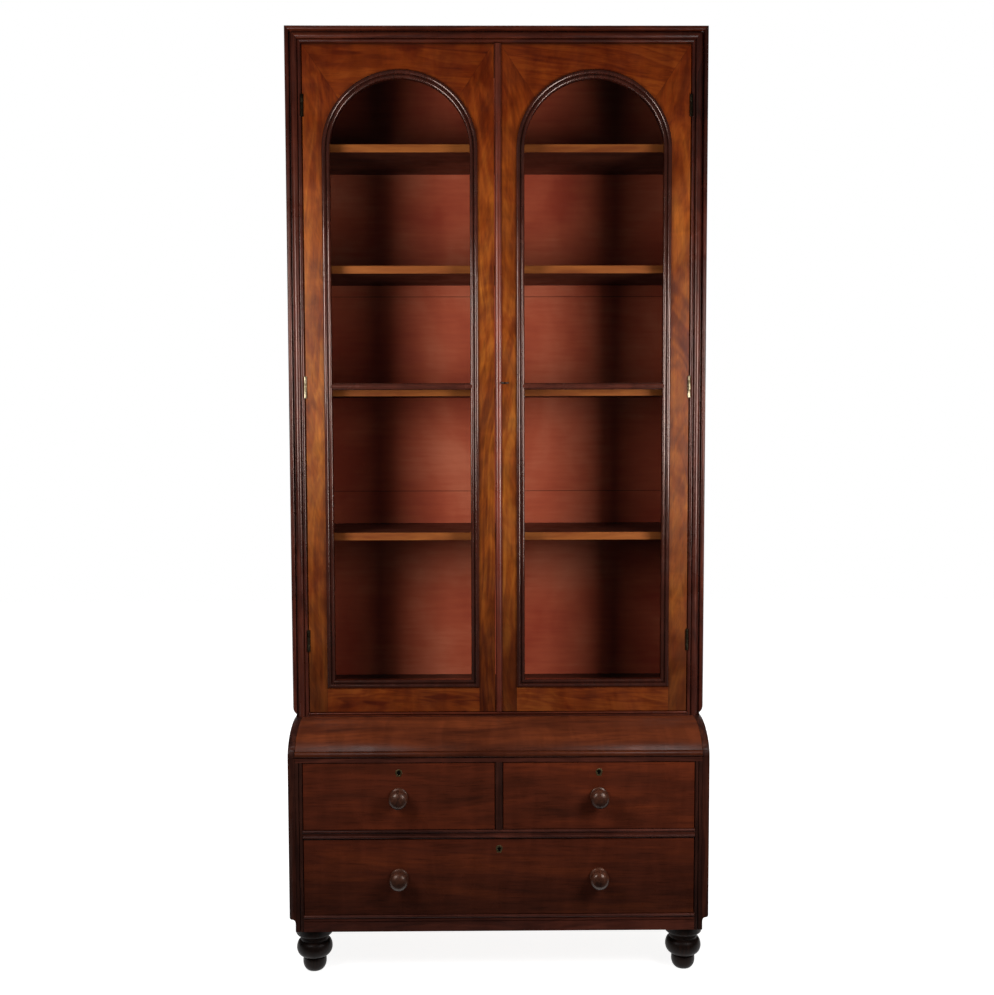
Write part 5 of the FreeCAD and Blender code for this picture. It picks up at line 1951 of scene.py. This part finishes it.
@dataclass
class Stage:
    """White paper floor, and a dim room round the front and the sides that the camera doesn't see."""

    floor_front: float = -0.36
    floor_back: float = 6.0
    half_width: float = 6.0
    room_half: float = 4.0
    room_front: float = -6.0
    room_back: float = 8.0
    room_top: float = 6.0
    room_foot: float = -0.01

    @staticmethod
    def rectangle(side: float, low: float, high: float) -> tuple[Pair, ...]:
        """Corners of a rectangle whose sides lie alike to the left and the right."""
        return (-side, low), (side, low), (side, high), (-side, high)

    def build(self, shop: Workshop) -> None:
        """Makes the floor and the room.

        Args:
            shop: Where the pieces are made.
        """
        paper = bmesh.new()
        corners = self.rectangle(self.half_width, self.floor_front, self.floor_back)
        paper.faces.new([paper.verts.new((x, y, 0.0)) for x, y in corners])
        finished_object("paper_floor", paper, shop.material(StageFinish()), False)
        room = bmesh.new()
        corners = self.rectangle(self.room_half, self.room_foot, self.room_top)
        front, back = (
            [room.verts.new((x, y, z)) for x, z in corners] for y in (self.room_front, self.room_back)
        )
        room.faces.new(front)
        for index in range(len(front)):
            after = (index + 1) % len(front)
            room.faces.new((front[index], back[index], back[after], front[after]))
        wall = finished_object("dim_room", room, shop.material(DimWall()), False)
        wall.visible_camera = False


@dataclass(frozen=True)
class Lamp:
    """A soft lamp: its place, what it points at, its size and its power in watts."""

    name: str
    place: Point
    target: Point
    width: float
    height: float
    power: float

    def build(self) -> None:
        """Sets the lamp up."""
        data = bpy.data.lights.new(self.name, "AREA")
        data.shape = "RECTANGLE"
        data.size = self.width
        data.size_y = self.height
        data.energy = self.power
        lamp = bpy.data.objects.new(self.name, data)
        lamp.visible_camera = False
        bpy.context.scene.collection.objects.link(lamp)
        lamp.location = self.place
        aim = Vector(self.target) - Vector(self.place)
        lamp.rotation_euler = aim.to_track_quat("-Z", "Y").to_euler()
        LOG.info("lamp %s", self.name)


@dataclass
class StudioLight:
    """A soft lamp close to each front corner, one behind, one above, and a dim surround that shows white."""

    lamps: tuple[Lamp, ...] = (
        Lamp("left_lamp", (-1.0, -1.1, 1.6), (0.0, -0.1, 1.25), 0.46, 0.8, 12.6),
        Lamp("right_lamp", (1.0, -1.1, 1.4), (0.0, -0.1, 1.25), 0.48, 0.8, 13.2),
        Lamp("back_lamp", (0.0, 2.6, 2.2), (0.0, 0.27, 1.2), 1.8, 1.8, 40.0),
        Lamp("top_lamp", (0.0, 0.9, 4.4), (0.0, 0.3, 2.3), 1.6, 1.2, 20.0),
    )

    def build(self) -> None:
        """Sets the lamps and the surround up."""
        world = bpy.data.worlds.new("dim_studio")
        world.use_nodes = True
        bench = NodeBench(world.node_tree)
        background = bench.tree.nodes["Background"]
        bench.feed(background.inputs["Color"], WHITE)
        bench.feed(background.inputs["Strength"], bench.math("MAXIMUM", bench.seen(), DIM_GLOW))
        bpy.context.scene.world = world
        for lamp in self.lamps:
            lamp.build()


@dataclass
class PhotographCamera:
    """Camera at the photograph's place and angle."""

    place: Point = (-0.0315, -3.182, 1.408)
    tilt: float = math.radians(3.81)
    roll: float = math.radians(0.135)
    turn: float = math.radians(-0.556)
    lens: float = 43.8
    sensor: float = 36.0

    def build(self) -> None:
        """Sets the camera up."""
        data = bpy.data.cameras.new("photograph")
        data.lens = self.lens
        data.sensor_width = self.sensor
        data.sensor_fit = "HORIZONTAL"
        camera = bpy.data.objects.new("photograph", data)
        bpy.context.scene.collection.objects.link(camera)
        camera.location = self.place
        camera.rotation_euler = (math.pi / 2 - self.tilt, self.roll, self.turn)
        bpy.context.scene.camera = camera


def main() -> None:
    """Loads the frame and dresses it, sub-assembly by sub-assembly."""
    logging.basicConfig(level=logging.INFO, format="%(message)s")
    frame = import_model()
    bpy.context.scene.view_settings.view_transform = "Standard"
    shop = Workshop(RowTree())
    finish_frame(frame, shop)
    for piece in (
        SmoothedPieces(frame),
        TurnedFeet(),
        CushionFront(),
        MeetingBead(),
        DrawerFront("left_drawer", (-KNOB_X,), SHORT_KNOB_LEVEL),
        DrawerFront("right_drawer", (KNOB_X,), SHORT_KNOB_LEVEL),
        DrawerFront("long_drawer", (-KNOB_X, KNOB_X), LONG_KNOB_LEVEL),
        ThreadEscutcheon("left_drawer", -KNOB_X, 0.525),
        ThreadEscutcheon("right_drawer", KNOB_X, 0.525),
        ThreadEscutcheon("long_drawer", 0.0, 0.331),
        GlazingMoulding("left_door", -1),
        GlazingMoulding("right_door", 1),
        Stage(),
    ):
        piece.build(shop)
    StudioLight().build()
    PhotographCamera().build()


if __name__ == "__main__":
    main()
